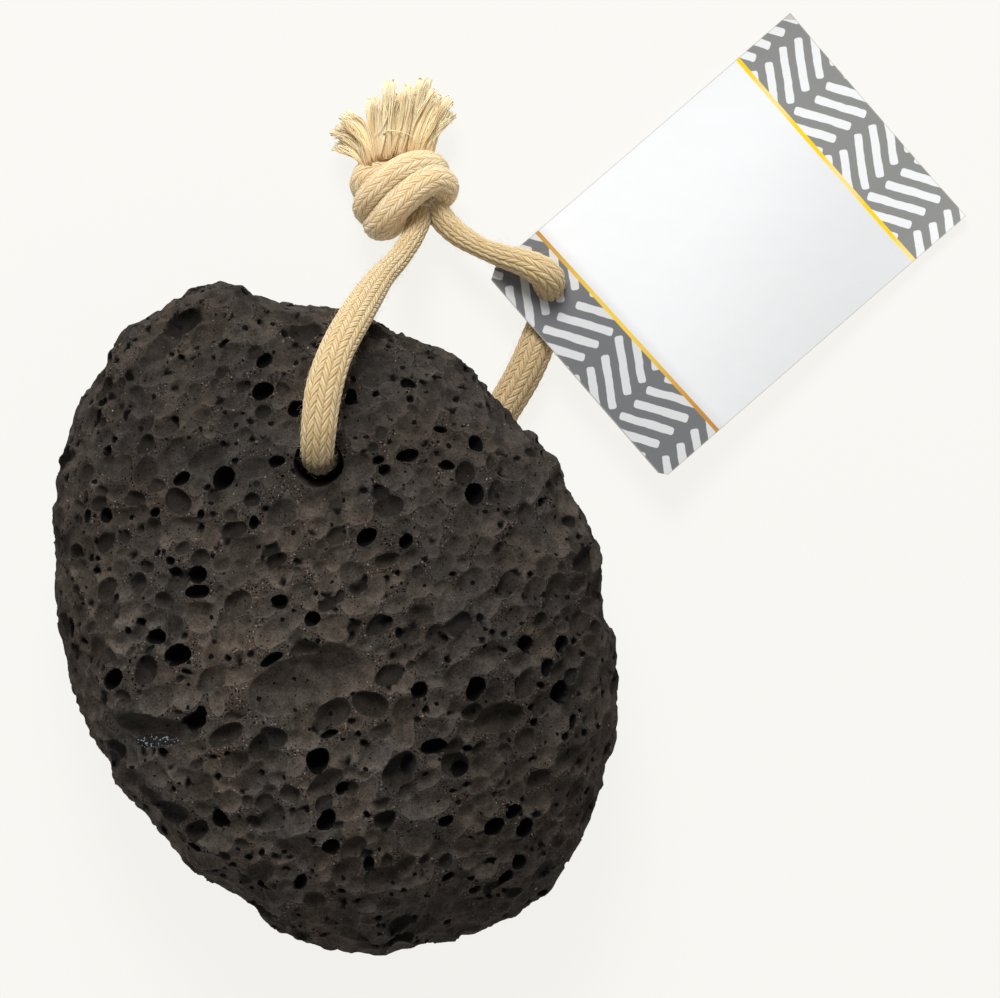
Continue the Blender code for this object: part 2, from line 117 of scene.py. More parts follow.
# ---- Stone hollows ------------------------------------------------------------------------------------
HOLE_TOP = (-1.95, 21.6, 34.4)
HOLE_BOTTOM = (1.6, 27.0, 9.6)
HOLE_RADIUS = 3.3
HOLE_WEAR = 0.05  # the hole is this much wider at its mouths
HOLE_WEAR_DEPTH = 0.8  # the wear fades over this depth
HOLE_PART = 9.0  # the drill's part of the grid reaches this far past the ends of the hole's axis
HOLE_MARGINS = (0.6, 1.0)  # no bubble is drawn this near to the hole's top and bottom
HOLE_DARK = (2.6, 4.5)  # between these depths below the skin the colour goes over to a painted black shade
FLOW_TURN = 38.0  # the bubbles were drawn out along this direction, in degrees from +X
FLOW_STRETCH = 1.4
PIT_SEED = 11
SKIN_PLACES = 60000  # places on the skin that a bubble may be drawn at
SKIN_STEPS = 4  # steps that bring a hollow's middle down or up to the skin
SQUARE_ON = 0.2
STEEPEST = 0.4  # a skin steeper than this is taken as this steep when a hollow is put on it
LEAST_SEEN = 0.45  # at least this share of a hollow is taken as seen, however steep its place
# Each hollow: centre x, centre y, half length, half width and turn in degrees. The long smooth ones have
# their depth and rise too: the scoop in two halves, then the furrow with its way out over the flank.
LONG_PITS = [
    (-5.4, -8.5, 8.8, 3.8, 22, 2.0, 0.75),
    (0.7, -6.7, 6.2, 2.9, 0, 1.8, 0.35),
    (-26.0, -14.5, 9.0, 2.15, 9, 1.55, 0.30),
    (-32.0, -15.3, 3.6, 1.7, 8, 0.9, 0.45),
]
PALE_PLACE = (-14.0, -17.0, 34.0)  # the stone is a little paler round here
PALE_REACH = (9.0, 44.0)
CRYSTALS = (-24.0, -16.3, 3.4, 1.0, 4)  # a patch of them, in the same order as a hollow
CRYSTALS_LOW = 15.0
# Bubbles seen in the photo, placed one by one. The deep ones are painted black inside, as shade.
DEEP_PITS = [
    (-14.9, 38.2, 0.7, 0.6, 90), (-9.3, 35.6, 1.2, 0.8, 50), (-9.3, 31.4, 1.4, 1.1, 35),
    (-4.9, 29.2, 1.2, 1.1, 80), (-7.5, 21.9, 1.1, 0.7, 15), (-20.5, 19.5, 1.2, 0.7, 45),
    (-14.7, 19.6, 1.6, 1.3, 50), (-31.0, 23.4, 0.8, 0.6, 45), (-31.0, 14.7, 1.0, 0.8, 90),
    (-33.5, 14.5, 1.0, 0.5, 80), (-24.1, 15.2, 0.7, 0.6, 45), (-10.6, 13.6, 0.9, 0.6, 70),
    (-32.5, 27.8, 1.4, 0.4, 75), (-17.7, 14.7, 0.7, 0.5, 90), (-22.0, 8.5, 0.6, 0.5, 45),
    (10.4, 32.6, 1.2, 0.6, -15), (6.0, 31.1, 0.6, 0.4, 45), (2.6, 30.8, 1.1, 0.8, 80),
    (14.8, 26.2, 0.9, 0.5, 0), (19.6, 24.5, 1.0, 1.0, 0), (10.5, 22.8, 1.6, 0.8, 20),
    (6.4, 22.1, 0.7, 0.6, 20), (7.2, 20.7, 0.8, 0.7, 0), (15.6, 21.4, 1.2, 0.7, 5),
    (19.4, 17.5, 1.5, 1.2, 60), (28.7, 16.3, 0.6, 0.4, 80), (4.8, 11.7, 1.6, 0.9, 50),
    (10.2, 11.1, 1.1, 0.9, 30), (-21.3, 7.1, 0.8, 0.7, 0), (-18.1, 6.5, 1.2, 1.1, 0),
    (-18.2, 4.2, 1.6, 0.9, 20), (-7.1, 3.0, 1.2, 1.0, 40), (-25.9, 0.1, 0.7, 0.5, 0),
    (-24.0, -2.0, 1.2, 1.1, 20), (-2.5, 0.6, 1.1, 1.0, 0), (-21.0, -4.4, 1.9, 1.4, 20),
    (-30.2, -7.9, 1.5, 1.1, 30), (-8.0, -4.9, 1.8, 0.7, 30), (-36.2, -0.9, 1.4, 0.5, 80),
    (-17.9, -12.4, 1.1, 0.8, 60), (-23.1, -18.0, 0.6, 0.5, 0), (-14.5, -18.2, 0.5, 0.4, 0),
    (-1.9, -18.7, 1.8, 1.6, 70), (-0.3, -15.1, 1.2, 0.5, 15), (-15.5, -27.1, 1.3, 1.1, 90),
    (-0.6, -27.0, 1.6, 1.2, 60), (-0.3, -30.7, 1.3, 0.9, 45), (-19.1, -31.1, 1.2, 0.6, -5),
    (-13.9, -33.7, 0.6, 0.5, 60), (16.5, 6.4, 0.5, 0.3, 0), (7.3, 0.0, 1.0, 0.6, 35),
    (9.2, -1.2, 0.7, 0.5, 60), (26.5, -2.9, 1.2, 1.1, 90), (31.4, -3.1, 1.2, 1.0, 45),
    (29.4, -6.2, 1.3, 0.7, 75), (19.7, -9.0, 1.8, 1.2, 65), (31.1, -9.7, 1.6, 1.1, 80),
    (11.8, -9.1, 1.2, 1.1, 0), (27.5, -13.6, 0.5, 0.5, 0), (32.9, -13.7, 1.0, 0.5, 60),
    (21.2, -13.5, 0.6, 0.5, 0), (13.9, -16.8, 1.9, 1.1, 5), (17.5, -19.9, 1.1, 1.0, 0),
    (10.3, -19.5, 1.5, 0.9, 60), (18.4, -17.0, 0.6, 0.5, 0), (1.4, -22.8, 1.1, 0.7, 70),
    (15.5, -27.1, 1.0, 0.7, 55), (4.8, -26.3, 0.5, 0.5, 0), (24.8, -26.0, 1.2, 0.9, 15),
    (22.1, -28.1, 1.6, 1.2, 30), (26.4, -28.3, 1.4, 1.0, 50), (5.0, -33.2, 1.1, 0.7, 90),
    (25.5, -33.2, 1.0, 0.8, 40), (-4.5, -35.7, 1.2, 0.8, 75), (-9.8, -36.4, 0.8, 0.6, 0),
    (15.7, -35.0, 0.9, 0.5, 30), (23.7, -35.2, 1.3, 0.8, 45), (19.4, -36.9, 0.9, 0.4, 30),
    (-19.0, -13.5, 1.7, 1.3, 10),
]
BOWL_PITS = [
    (-3.6, -3.6, 2.0, 1.2, 10), (-12.1, 32.1, 1.2, 0.8, 0), (-9.4, 28.7, 1.2, 1.0, 20),
    (-25.6, 24.3, 1.5, 1.3, 60), (-29.0, 21.2, 1.9, 1.4, 45), (-34.3, 19.8, 1.9, 1.2, 65),
    (-27.0, 31.2, 1.4, 1.1, 60), (-18.7, 31.6, 1.2, 0.9, 60), (-21.0, 16.5, 1.9, 1.6, 150),
    (-27.0, 16.8, 1.5, 1.1, 0), (-24.0, 18.6, 1.4, 1.0, 20), (-31.6, 17.9, 1.0, 0.8, 0),
    (-13.8, 14.7, 1.1, 1.0, 0), (-10.9, 16.7, 1.2, 1.1, 30), (-28.2, 11.7, 1.1, 1.0, 60),
    (-20.4, 10.2, 1.2, 0.9, 20), (-25.8, 35.6, 1.1, 0.8, 0), (-6.7, 32.0, 1.1, 1.0, 0),
    (-25.3, 7.8, 1.0, 0.9, 0), (-17.7, 8.9, 1.6, 1.1, 30), (6.7, 25.8, 1.1, 0.8, 60),
    (18.2, 20.3, 1.8, 1.4, 75), (21.6, 21.8, 1.1, 0.7, 80), (22.4, 17.8, 1.6, 1.1, 50),
    (27.2, 23.3, 0.9, 0.8, 30), (26.5, 14.6, 1.9, 1.2, 75), (30.0, 18.2, 1.2, 1.1, 60),
    (7.7, 15.9, 2.3, 1.6, 25), (0.8, 11.9, 1.5, 1.2, 30), (7.4, 8.5, 1.8, 1.1, 20),
    (11.7, 6.9, 0.9, 0.8, 30), (-26.5, 5.4, 1.5, 1.2, 60), (-22.8, 3.1, 1.6, 1.1, 0),
    (-12.6, 2.7, 2.2, 1.6, 40), (-25.4, -6.6, 2.3, 1.5, 60), (-28.7, -10.3, 1.2, 1.1, 0),
    (-33.2, -0.8, 1.1, 0.7, 30), (-36.2, 3.0, 1.1, 0.5, 85), (-27.6, -4.2, 1.1, 0.5, 20),
    (-14.5, -15.3, 2.7, 1.4, 30), (-13.4, -12.8, 1.4, 0.7, 10), (-7.8, -15.5, 2.3, 1.2, -10),
    (-9.9, -17.0, 2.0, 1.5, 50), (-5.7, -23.4, 1.6, 1.2, -10), (-9.2, -24.6, 1.2, 1.1, 0),
    (-18.7, -19.3, 1.1, 0.7, 30), (-22.8, -26.2, 3.0, 1.8, 20), (-25.3, -23.8, 1.9, 1.1, 20),
    (-10.5, -27.3, 1.2, 1.0, 0), (-12.7, -30.5, 1.1, 0.8, 0), (6.6, -0.4, 2.0, 1.1, 30),
    (27.4, 2.1, 1.1, 0.8, 0), (28.5, 0.3, 1.1, 1.0, 45), (22.7, -13.2, 3.4, 2.0, 15),
    (5.2, -11.0, 2.6, 1.8, -15), (16.8, -19.3, 2.0, 1.8, -20), (9.2, -20.1, 3.0, 2.0, 50),
    (2.2, -22.7, 1.4, 1.1, 0), (6.7, -24.5, 1.6, 0.7, 25), (28.4, -21.4, 1.8, 1.1, 20),
    (33.4, -23.2, 2.5, 0.8, 60), (23.6, -17.4, 1.2, 1.0, 0), (15.5, -32.7, 1.1, 1.0, 90),
    (30.9, -30.4, 1.2, 1.0, 80), (32.5, -31.0, 1.2, 0.8, 60), (35.0, 2.1, 1.2, 1.0, 80),
    (33.5, 5.0, 1.4, 1.2, 90), (14.1, -43.2, 1.4, 0.7, 0), (23.5, -39.2, 1.3, 0.7, 35),
]
SHALLOW_PITS = [
    (-19.8, 26.3, 1.9, 1.0, 25), (-16.7, 25.6, 1.2, 0.7, 0), (-8.5, 19.4, 1.1, 0.9, 30),
    (13.6, 14.7, 2.4, 1.5, 30), (18.5, 14.1, 2.7, 2.0, 35), (17.2, 10.6, 1.9, 1.4, 30),
    (21.5, 26.9, 1.2, 1.1, 0), (-21.1, 1.5, 1.9, 1.1, 15), (-12.5, -2.3, 1.2, 1.1, 0),
    (-7.4, -0.9, 3.7, 1.9, 38), (9.6, -15.4, 2.2, 1.8, 90), (12.5, -25.0, 3.5, 1.9, 10),
    (11.3, -30.3, 2.7, 1.9, 10),
]
# For the deep, the bowl and the shallow ones: depth for their half width, and rise.
DEEP_SHAPE = (2.3, -0.1)
BOWL_SHAPE = (0.85, 0.25)
SHALLOW_SHAPE = (0.42, 0.5)
# Every other bubble is drawn by chance, the largest first. Each class holds the number of tries, the
# half widths, how long a bubble is for its width, the room that it keeps, and the share that are bowls.
BUBBLE_CLASSES = [
    (16000, (1.30, 2.10), (1.20, 1.95), 0.78, 0.07),
    (30000, (0.80, 1.30), (1.15, 1.80), 0.80, 0.25),
    (36000, (0.46, 0.80), (1.05, 1.60), 0.86, 0.40),
]
DISH_DEPTHS = (0.32, 0.60)  # depths, as shares of the half width
BOWL_DEPTHS = (0.60, 1.00)
RISE_RANGE = (-0.3, 0.65)
PORE_TRIES = 1500  # small deep pores lie anywhere, also in the larger bubbles
PORE_WIDTHS = (0.34, 0.50)
PORE_LENGTHS = (1.0, 1.5)
PORE_DEPTHS = (1.3, 2.2)
PORE_SPACING = 2.2
PORE_RISE = -0.2
PORE_SPREAD = 40.0  # how far pores and larger bubbles turn off the flow's direction, in degrees
FLOW_SPREAD = 16.0
SHADE_RATIO = 0.46  # a bubble deeper than this for its half width gets painted shade inside
SHADE_SPAN = 0.45
DARK_RATIO = 1.1  # and one deeper than this is painted black inside, as shade
WANDER = 0.30  # the skin's points drift about this far, which makes the carved shapes uneven
WANDER_WAVES = 40
WANDER_LENGTHS = (2.0, 6.5)
WANDER_SEED = 8

# ---- Cord: the CAD cord's own route, with its radius at each point ----------------------------------
CORD_ROUTE = [
    (10.6, 53.7, 7.2, 1.55), (9.45, 51.7, 9.4, 1.55), (8.2, 49.8, 12.4, 1.60), (6.4, 47.6, 17.0, 1.80),
    (4.65, 44.7, 22.8, 2.15), (3.15, 41.9, 28.0, 2.30), (1.75, 39.2, 32.0, 2.35), (0.5, 36.4, 35.2, 2.35),
    (-0.35, 33.8, 36.9, 2.45), (-0.95, 31.4, 37.7, 2.50), (-1.35, 28.8, 38.1, 2.45),
    (-1.6, 26.4, 38.0, 2.40), (-1.8, 24.1, 36.9, 2.30), (-1.9, 22.6, 34.6, 2.25),
    (-1.6, 22.3, 31.5, 2.25), (-1.0, 23.1, 27.0, 2.30), (-0.1, 24.5, 21.0, 2.30), (0.8, 25.8, 15.5, 2.30),
    (1.5, 26.7, 11.8, 2.30), (2.3, 27.1, 9.0, 2.30), (3.6, 27.1, 6.6, 2.30), (5.6, 26.7, 4.8, 2.35),
    (8.3, 25.9, 3.5, 2.35), (11.4, 25.0, 2.8, 2.40), (14.8, 24.5, 2.6, 2.40), (18.2, 25.0, 2.65, 2.45),
    (21.4, 27.0, 2.7, 2.50), (24.0, 30.7, 2.7, 2.50), (26.5, 35.1, 2.75, 2.55), (28.5, 39.8, 2.7, 2.50),
    (29.6, 43.0, 2.7, 2.30), (29.85, 45.8, 3.5, 2.05), (29.75, 46.9, 5.6, 2.05), (29.5, 47.9, 7.6, 2.15),
    (28.2, 49.0, 8.6, 2.10), (25.8, 50.1, 8.4, 1.90), (23.4, 50.8, 7.9, 1.65), (20.2, 52.1, 6.8, 1.45),
    (17.2, 53.9, 5.4, 1.65), (15.2, 55.7, 5.0, 1.75),
]
# The cord's two ends run on a little way into the knot, where its strands begin.
CORD_START = [(11.6, 59.5, 4.6, 1.9), (11.7, 57.0, 5.2, 1.75)]
CORD_END = [(13.4, 57.9, 4.6, 1.8), (11.2, 60.0, 4.2, 1.9)]
CORD_DIAMETER = 4.6
CORD_BULGE = (29.6, 47.4, 6.5)  # the soft cord swells a little where it bends through the tag
CORD_BULGE_HEIGHT = 0.24
CORD_BULGE_REACH = 2.4
HOLE_MOUTH = (-1.9, 21.6, 33.4)  # round here the cord is painted dark, as shade from the hole
MOUTH_SHADE = (2.6, 4.8)  # full within the first distance, and none past the second
# Painted light: the knot's colour is painted lighter and the cord's darker, for how brightly each is lit.
CORD_PAINTED_SHADE = (0.86, 0.87, 0.88)
KNOT_PAINTED_LIGHT = (1.08, 1.10, 1.20)
CURVE_STEPS = 40  # fine steps of a smooth curve between two of its points
KNOT_RADII = (2.1, 2.3)
KNOT_STRANDS = [
    [
        (11.7, 57.6, 5.0), (11.6, 59.5, 4.6), (9.3, 61.6, 4.4), (6.7, 62.9, 4.6),
        (4.5, 62.6, 4.8), (3.75, 61.1, 3.8), (5.0, 59.4, 2.4), (7.9, 58.8, 2.2), (11.2, 60.2, 2.2),
        (13.6, 62.0, 3.4), (13.2, 63.5, 6.0), (10.7, 63.5, 8.1), (8.2, 62.3, 8.8), (5.9, 60.3, 8.2),
        (4.35, 58.5, 6.2), (4.4, 57.4, 3.8), (6.1, 57.6, 2.8),
    ],
    [
        (13.1, 58.1, 4.4), (11.0, 60.2, 4.2), (8.2, 61.9, 3.6), (5.6, 61.2, 2.8),
        (4.8, 59.5, 2.4), (7.0, 57.6, 2.4), (10.8, 58.2, 2.4), (13.9, 59.5, 3.2), (14.8, 60.8, 5.3),
        (13.3, 61.6, 7.8), (11.1, 60.5, 9.0), (8.6, 58.2, 9.0), (6.7, 56.1, 7.2), (5.8, 55.5, 4.6),
        (7.2, 55.9, 2.9), (8.9, 58.4, 3.6), (9.1, 61.5, 4.8), (8.6, 63.6, 5.0),
    ],
]
# The end that still holds its braid for a little way above the knot.
CUT_END = [
    (11.0, 63.0, 4.4, 1.7), (12.0, 65.6, 4.8, 1.55), (12.6, 67.8, 4.9, 1.55), (13.3, 69.8, 4.8, 1.35),
]
# The braid: its columns of stitches round the cord, and one stitch's length along it.
BRAID_COLUMNS = 14
YARNS_PER_STITCH = 2
POINTS_PER_COLUMN = 6
STITCH_LENGTH = 1.36
STITCH_LEAN = 1.1
STITCH_ROUNDING = 3.2
COLUMN_EDGE = 0.35  # height of the braid between two columns, as a share of its height along their middles
STITCH_RELIEF = 0.32
KNOT_RELIEF = 0.18
RELIEF_MIDDLE = 0.8  # this share of the relief lies below the cord's own radius
KNOT_STITCH = 1.25  # the knot's stitches are pushed together
FUZZ_SEED = 2
FUZZ_PER_MM = 14  # short loose fibres for each millimetre of cord
FUZZ_RADIUS = 0.014
FUZZ_LENGTHS = (0.3, 1.3)
FUZZ_LEANS = (1.0, 0.7)  # how much a fibre leans along the cord and round it
FUZZ_ROOT = 0.1
FUZZ_LOW = 0.05
BRAID_STEP = 0.17

# ---- Frayed ends: clumps of yarns ---------------------------------------------------------------------
FRAY_SEED = 5
# Each tuft: its foot in the knot, a point on its way, its tip, its half width at the tip, and its yarns.
FRAY_TUFTS = [
    ((4.3, 63.9, 4.6), (2.1, 66.4, 4.6), (-0.2, 66.9, 3.6), 1.0, 13),
    ((4.8, 64.1, 5.0), (2.7, 67.5, 5.2), (-0.3, 69.0, 4.2), 1.1, 15),
    ((5.4, 64.2, 5.4), (3.6, 68.3, 5.6), (0.9, 71.0, 4.8), 0.9, 13),
    ((6.0, 64.4, 5.0), (5.3, 69.0, 5.2), (5.0, 73.3, 4.6), 0.9, 13),
    ((6.9, 64.6, 5.4), (6.9, 69.8, 5.6), (7.4, 75.8, 4.6), 0.7, 12),
    ((7.8, 64.7, 4.8), (8.3, 69.8, 4.8), (8.7, 73.9, 4.2), 0.9, 13),
    ((8.7, 64.9, 5.4), (9.4, 70.0, 5.8), (10.0, 75.0, 5.0), 0.6, 12),
    ((9.5, 65.0, 4.8), (10.9, 70.2, 5.2), (12.3, 75.9, 4.6), 0.9, 15),
    ((10.3, 65.0, 5.2), (11.9, 69.8, 5.8), (13.9, 74.2, 5.0), 0.9, 14),
    ((11.1, 65.1, 5.0), (12.8, 69.3, 5.4), (15.6, 73.2, 4.6), 0.9, 14),
    ((11.7, 65.2, 4.4), (13.1, 68.4, 4.6), (16.0, 71.4, 4.0), 0.9, 13),
]
FOOT_WIDTH = 0.9
TUFT_WAIST = 0.9  # a tuft's width halfway, as a share of its width at the tip
TUFT_THICKNESS = 1.3
TUFT_ROUNDING = 0.15  # the outer yarns end this share of their last part earlier
CORE_SIDES = 96
CORE_RINGS = 24
CORE_RIBS = [(7, 0.10, 2), (19, 0.06, 0)]  # how many ribs, how high, and how far they turn
CORE_SPREAD = 1.05
CORE_JAGS = (-1.1, 0.5)
JAG_SIDES = 6
CORE_DIMPLE = 0.05
CORE_LOW = 0.4
YARN_POINTS = 14
YARN_RADIUS = 0.26
YARN_STRAYS = (0.5, 0.3, 0.2)  # how far yarns stray sideways at a tuft's foot, middle and tip
YARN_REACH = (0.84, 1.04)
YARN_WAVES = (5, 11)
WAVE_HEIGHT = 0.15
YARN_LOW = 0.5
YARN_THREADS = 9
THREAD_RADIUS = 0.11
THREAD_SIDES = 4
THREAD_TAPER = 0.30  # a thread's width at its end
YARN_TWIST = 3.6  # how far a yarn's threads turn round each other, in radians
LOOSE_THREADS = [
    [(6.5, 68.0, 7.1), (7.2, 68.5, 7.4), (9.0, 68.3, 7.5), (10.8, 67.6, 7.2)],
    [(6.9, 71.4, 6.9), (7.0, 70.5, 7.2), (6.3, 68.9, 7.2), (5.2, 67.6, 6.8)],
]
LOOSE_RADIUS = 0.13
LOOSE_STEP = 0.3

# ---- Tag ------------------------------------------------------------------------------------------------
TAG_LENGTH = 57.0
TAG_WIDTH = 38.0
TAG_THICKNESS = 0.45
TAG_CLIPS = [(1.6, 1.0), (0.9, 1.1)]  # what is cut off the threaded end's corners, along it and across it
TAG_HOLE = (5.65, 7.0)
TAG_HOLE_RADIUS = 2.1  # the cord fills the hole and hides its edge
TAG_CORNER = (20.95, 48.35)
TAG_TURN = 40.9
TAG_LOW = 0.2  # heights of the card's far end and its threaded end
TAG_HIGH = 5.7
TAG_BOW = -0.5  # the card sags this much between its ends
TAG_CORNER_LIFT = 0.7
CUTTER_HEIGHT = 4.0
GOLD_LINES = [(9.35, 10.25), (47.05, 47.25)]  # how far along the card each line is, at both long edges
GOLD_HALF_WIDTH = 0.3
GOLD_BLUR = 0.05
DASH_START = 2.37  # the herringbone's columns run along the card, counted across it from here
DASH_COLUMN = 8.05
DASH_LEAN = 0.64
DASH_SPACING = 2.74
DASH_OFFSETS = (3.25, 50.85)  # where a dash's middle falls at each end of the card
DASH_HALF_LENGTH = 4.0
DASH_HALF_WIDTH = 0.58
DASH_CORNER = 0.36  # radius of a dash's corners
DASH_FIRST_SHIFT = 0.45  # the first column is shifted by this share of a dash's spacing
PRINT_BLUR = 0.06


# ---- Mesh helpers ---------------------------------------------------------------------------------------
def new_mesh(name, points, faces, smooth=True):
    """A mesh from points in millimetres and a list or an array of faces."""
    mesh = bpy.data.meshes.new(name)
    mesh.from_pydata((np.asarray(points) * MM).tolist(), [], faces)
    if smooth:
        mesh.shade_smooth()
    return mesh


def new_piece(name, mesh, node, material):
    """Puts a mesh in the scene in place of a CAD node."""
    piece = bpy.data.objects.new(name, mesh)
    bpy.context.scene.collection.objects.link(piece)
    piece.data.materials.append(material)
    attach(piece, "root")
    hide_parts(node)
    return piece


def add_values(mesh, name, values):
    """One number for each point, for the material to read."""
    layer = mesh.attributes.new(name, "FLOAT", "POINT")
    layer.data.foreach_set("value", np.asarray(values, dtype=np.float32))


# ---- Stone form -----------------------------------------------------------------------------------------
def outline_reach():
    """The widest outline's distance from the middle, at evenly spaced angles."""
    angles = np.linspace(-math.pi, math.pi, OUTLINE_ANGLES + 1)
    dx, dy = np.cos(angles), np.sin(angles)
    reach = np.zeros_like(angles)
    for (ax, ay), (bx, by) in zip(STONE_OUTLINE, STONE_OUTLINE[1:] + STONE_OUTLINE[:1]):
        ex, ey = bx - ax, by - ay
        cross = ex * dy - ey * dx
        cross = np.where(np.abs(cross) < 1e-9, 1e-9, cross)
        along_edge = (dx * ay - dy * ax) / cross
        distance = (ex * ay - ey * ax) / cross
        hit = (along_edge >= 0.0) & (along_edge <= 1.0)
        reach = np.where(hit, np.maximum(reach, distance), reach)
    return angles, reach


ANGLES, REACH = outline_reach()


def plan(x, y):
    """For points of the plan: share of the outline's reach, section power, waist, crown and underside."""
    angle = np.arctan2(y, x)
    share = np.hypot(x, y) / np.interp(angle, ANGLES, REACH)
    power = SECTION_POWER + SECTION_POWER_SWING * np.sin(angle)
    waist = WAIST_HEIGHT + WAIST_SLOPE * y
    across = (x - CROWN_CENTRE[0]) / CROWN_REACH[0]
    along = (y - CROWN_CENTRE[1]) / CROWN_REACH[1]
    crown = STONE_HEIGHT - CROWN_FALL[0] * across**2 - CROWN_FALL[1] * along**2
    t = np.clip((x * LIFT_DIRECTION[0] + y * LIFT_DIRECTION[1]) / LIFT_REACH, 0.0, 1.0)
    underside = END_LIFT * t * t * (3 - 2 * t)
    return share, power, waist, crown, underside


def top_height(x, y):
    """Height of the worn upper face at points of the plan, before its swells."""
    share, power, waist, crown, _ = plan(x, y)
    rise = (1 - np.minimum(share, 1.0) ** power) ** (1 / power)
    return waist + rise * (crown - waist) - FACET_DEPTH


def grid_axes():
    """The grid's places along X, Y and Z."""
    return [np.arange(low, high, VOXEL) for low, high in zip(GRID_LOW, GRID_HIGH)]


def swells(x, y, z):
    """Slow, low swells of the worn skin, from a few seeded waves."""
    draw = random.Random(LUMP_SEED)
    total = 0.0
    for _ in range(LUMP_WAVES):
        length = draw.uniform(*LUMP_LENGTHS)
        turn, lean = draw.uniform(0, 2 * math.pi), draw.uniform(-1.0, 1.0)
        kx, ky, kz = math.cos(turn) / length, math.sin(turn) / length, lean / length
        total = total + np.sin(2 * math.pi * (kx * x + ky * y + kz * z) + draw.uniform(0, 6.28))
    return LUMP_HEIGHT * total / math.sqrt(LUMP_WAVES)


def worn_skin():
    """Distance from the worn skin at each point of the grid, negative inside the stone."""
    xs, ys, zs = grid_axes()
    x, y = np.meshgrid(xs, ys, indexing="ij")
    share, power, waist, crown, underside = plan(x, y)
    flat_power = share**power
    field = np.empty((len(xs), len(ys), len(zs)), dtype=np.float32)
    for k, height in enumerate(zs + FACET_DEPTH):
        above, below = (height - waist) / (crown - waist), (waist - height) / (waist - underside)
        rise = np.where(height > waist, above, below)
        field[:, :, k] = (flat_power + rise**power) ** (1 / power) - 1
    gradients = np.gradient(field, VOXEL)
    slope = np.sqrt(sum(g * g for g in gradients))
    distance = field / np.maximum(slope, 0.01)
    np.clip(distance, *SKIN_BAND, out=distance)
    distance += swells(xs[:, None, None], ys[None, :, None], zs[None, None, :]).astype(np.float32)
    return np.maximum(distance, -zs[None, None, :].astype(np.float32))


# ---- Stone carving --------------------------------------------------------------------------------------
def carve(field, nearest, owners, number, centre, normal, along, half_sizes, rise):
    """Takes an ellipsoid out of the field, and marks the grid points that it is nearest to as its own. Its
    opening in the skin and its depth are the half sizes, and rise lifts its middle out of the skin, as a
    share of its size."""
    half_length, half_width, depth = half_sizes
    swell = 1 / math.sqrt(1 - rise * rise)
    axes = np.array([half_length * swell, half_width * swell, depth / (1 - rise)])
    middle = centre + normal * axes[2] * rise
    across = np.cross(normal, along)
    basis = np.stack([along, across, normal])
    reach = np.sqrt((basis**2 * axes[:, None] ** 2).sum(axis=0)) + 2 * VOXEL
    low = np.maximum(np.floor((middle - reach - GRID_LOW) / VOXEL).astype(int), 0)
    high = np.minimum(np.ceil((middle + reach - GRID_LOW) / VOXEL).astype(int) + 1, field.shape)
    if (low >= high).any():
        return
    spans = [np.arange(a, b) * VOXEL + start - m for a, b, start, m in zip(low, high, GRID_LOW, middle)]
    x, y, z = np.meshgrid(*spans, indexing="ij", sparse=True)
    near = far = 0.0
    for axis, size in zip(basis, axes):
        local = (axis[0] * x + axis[1] * y + axis[2] * z) / size
        near = near + local**2
        far = far + (local / size) ** 2
    near = np.sqrt(near)
    hollow = near * (near - 1) / np.sqrt(np.maximum(far, 1e-9))
    part = tuple(slice(a, b) for a, b in zip(low, high))
    np.maximum(field[part], -hollow, out=field[part])
    closer = -hollow > nearest[part]
    nearest[part][closer] = -hollow[closer]
    owners[part][closer] = number


def normals_of(points, distance):
    """Outward directions of the worn skin at points, from the distance grid."""
    index = np.round((points - GRID_LOW) / VOXEL).astype(int)
    index = np.clip(index, 2, np.array(distance.shape) - 3)
    i, j, k = index.T
    slopes = np.stack([
        distance[i + 2, j, k] - distance[i - 2, j, k],
        distance[i, j + 2, k] - distance[i, j - 2, k],
        distance[i, j, k + 2] - distance[i, j, k - 2],
    ], axis=1)
    return slopes / np.linalg.norm(slopes, axis=1)[:, None]


def tangent(normal, turn):
    """The direction in the skin that is seen from above at this turn from +X, or a level one where the
    skin stands almost square to it."""
    flow = np.array([math.cos(math.radians(turn)), math.sin(math.radians(turn)), 0.0])
    flow = flow - normal * normal.dot(flow)
    length = np.linalg.norm(flow)
    if length < SQUARE_ON:
        flow = np.cross(normal, [0.0, 0.0, 1.0])
        length = np.linalg.norm(flow)
    return flow / length


def placed(distance, x, y, turn):
    """Where a hollow at this x and y lies on the skin, the skin's outward direction there, and the shares
    of the hollow's length and width that are seen from above."""
    centre = np.array([x, y, float(top_height(np.float64(x), np.float64(y)))])
    normal = normals_of(centre[None], distance)[0]
    for _ in range(SKIN_STEPS):
        centre[2] -= float(sample(distance, centre[None])[0]) / max(normal[2], STEEPEST)
        normal = normals_of(centre[None], distance)[0]
    along = tangent(normal, turn)
    seen_along = max(np.hypot(*along[:2]), LEAST_SEEN)
    seen_across = max(np.hypot(*np.cross(normal, along)[:2]), LEAST_SEEN)
    return centre, normal, seen_along, seen_across


def seen_pits(distance):
    """The landmark hollows as (centre, normal, turn, half sizes, rise), the long ones first."""
    pits = []
    for x, y, half_length, half_width, turn, depth, rise in LONG_PITS:
        centre, normal, _, _ = placed(distance, x, y, turn)
        pits.append((centre, normal, turn, (half_length, half_width, depth), rise))
    groups = [(DEEP_PITS, DEEP_SHAPE), (BOWL_PITS, BOWL_SHAPE), (SHALLOW_PITS, SHALLOW_SHAPE)]
    for table, (depth_ratio, rise) in groups:
        for x, y, half_length, half_width, turn in table:
            centre, normal, seen_along, seen_across = placed(distance, x, y, turn)
            sizes = (half_length / seen_along, half_width / seen_across, depth_ratio * half_width)
            pits.append((centre, normal, turn, sizes, rise))
    return pits


def rise_of(depth_ratio):
    """How far a bubble's middle is lifted out of the skin: shallow ones are the foot of a larger sphere."""
    return float(np.clip(0.62 - 0.75 * (depth_ratio - 0.3), *RISE_RANGE))


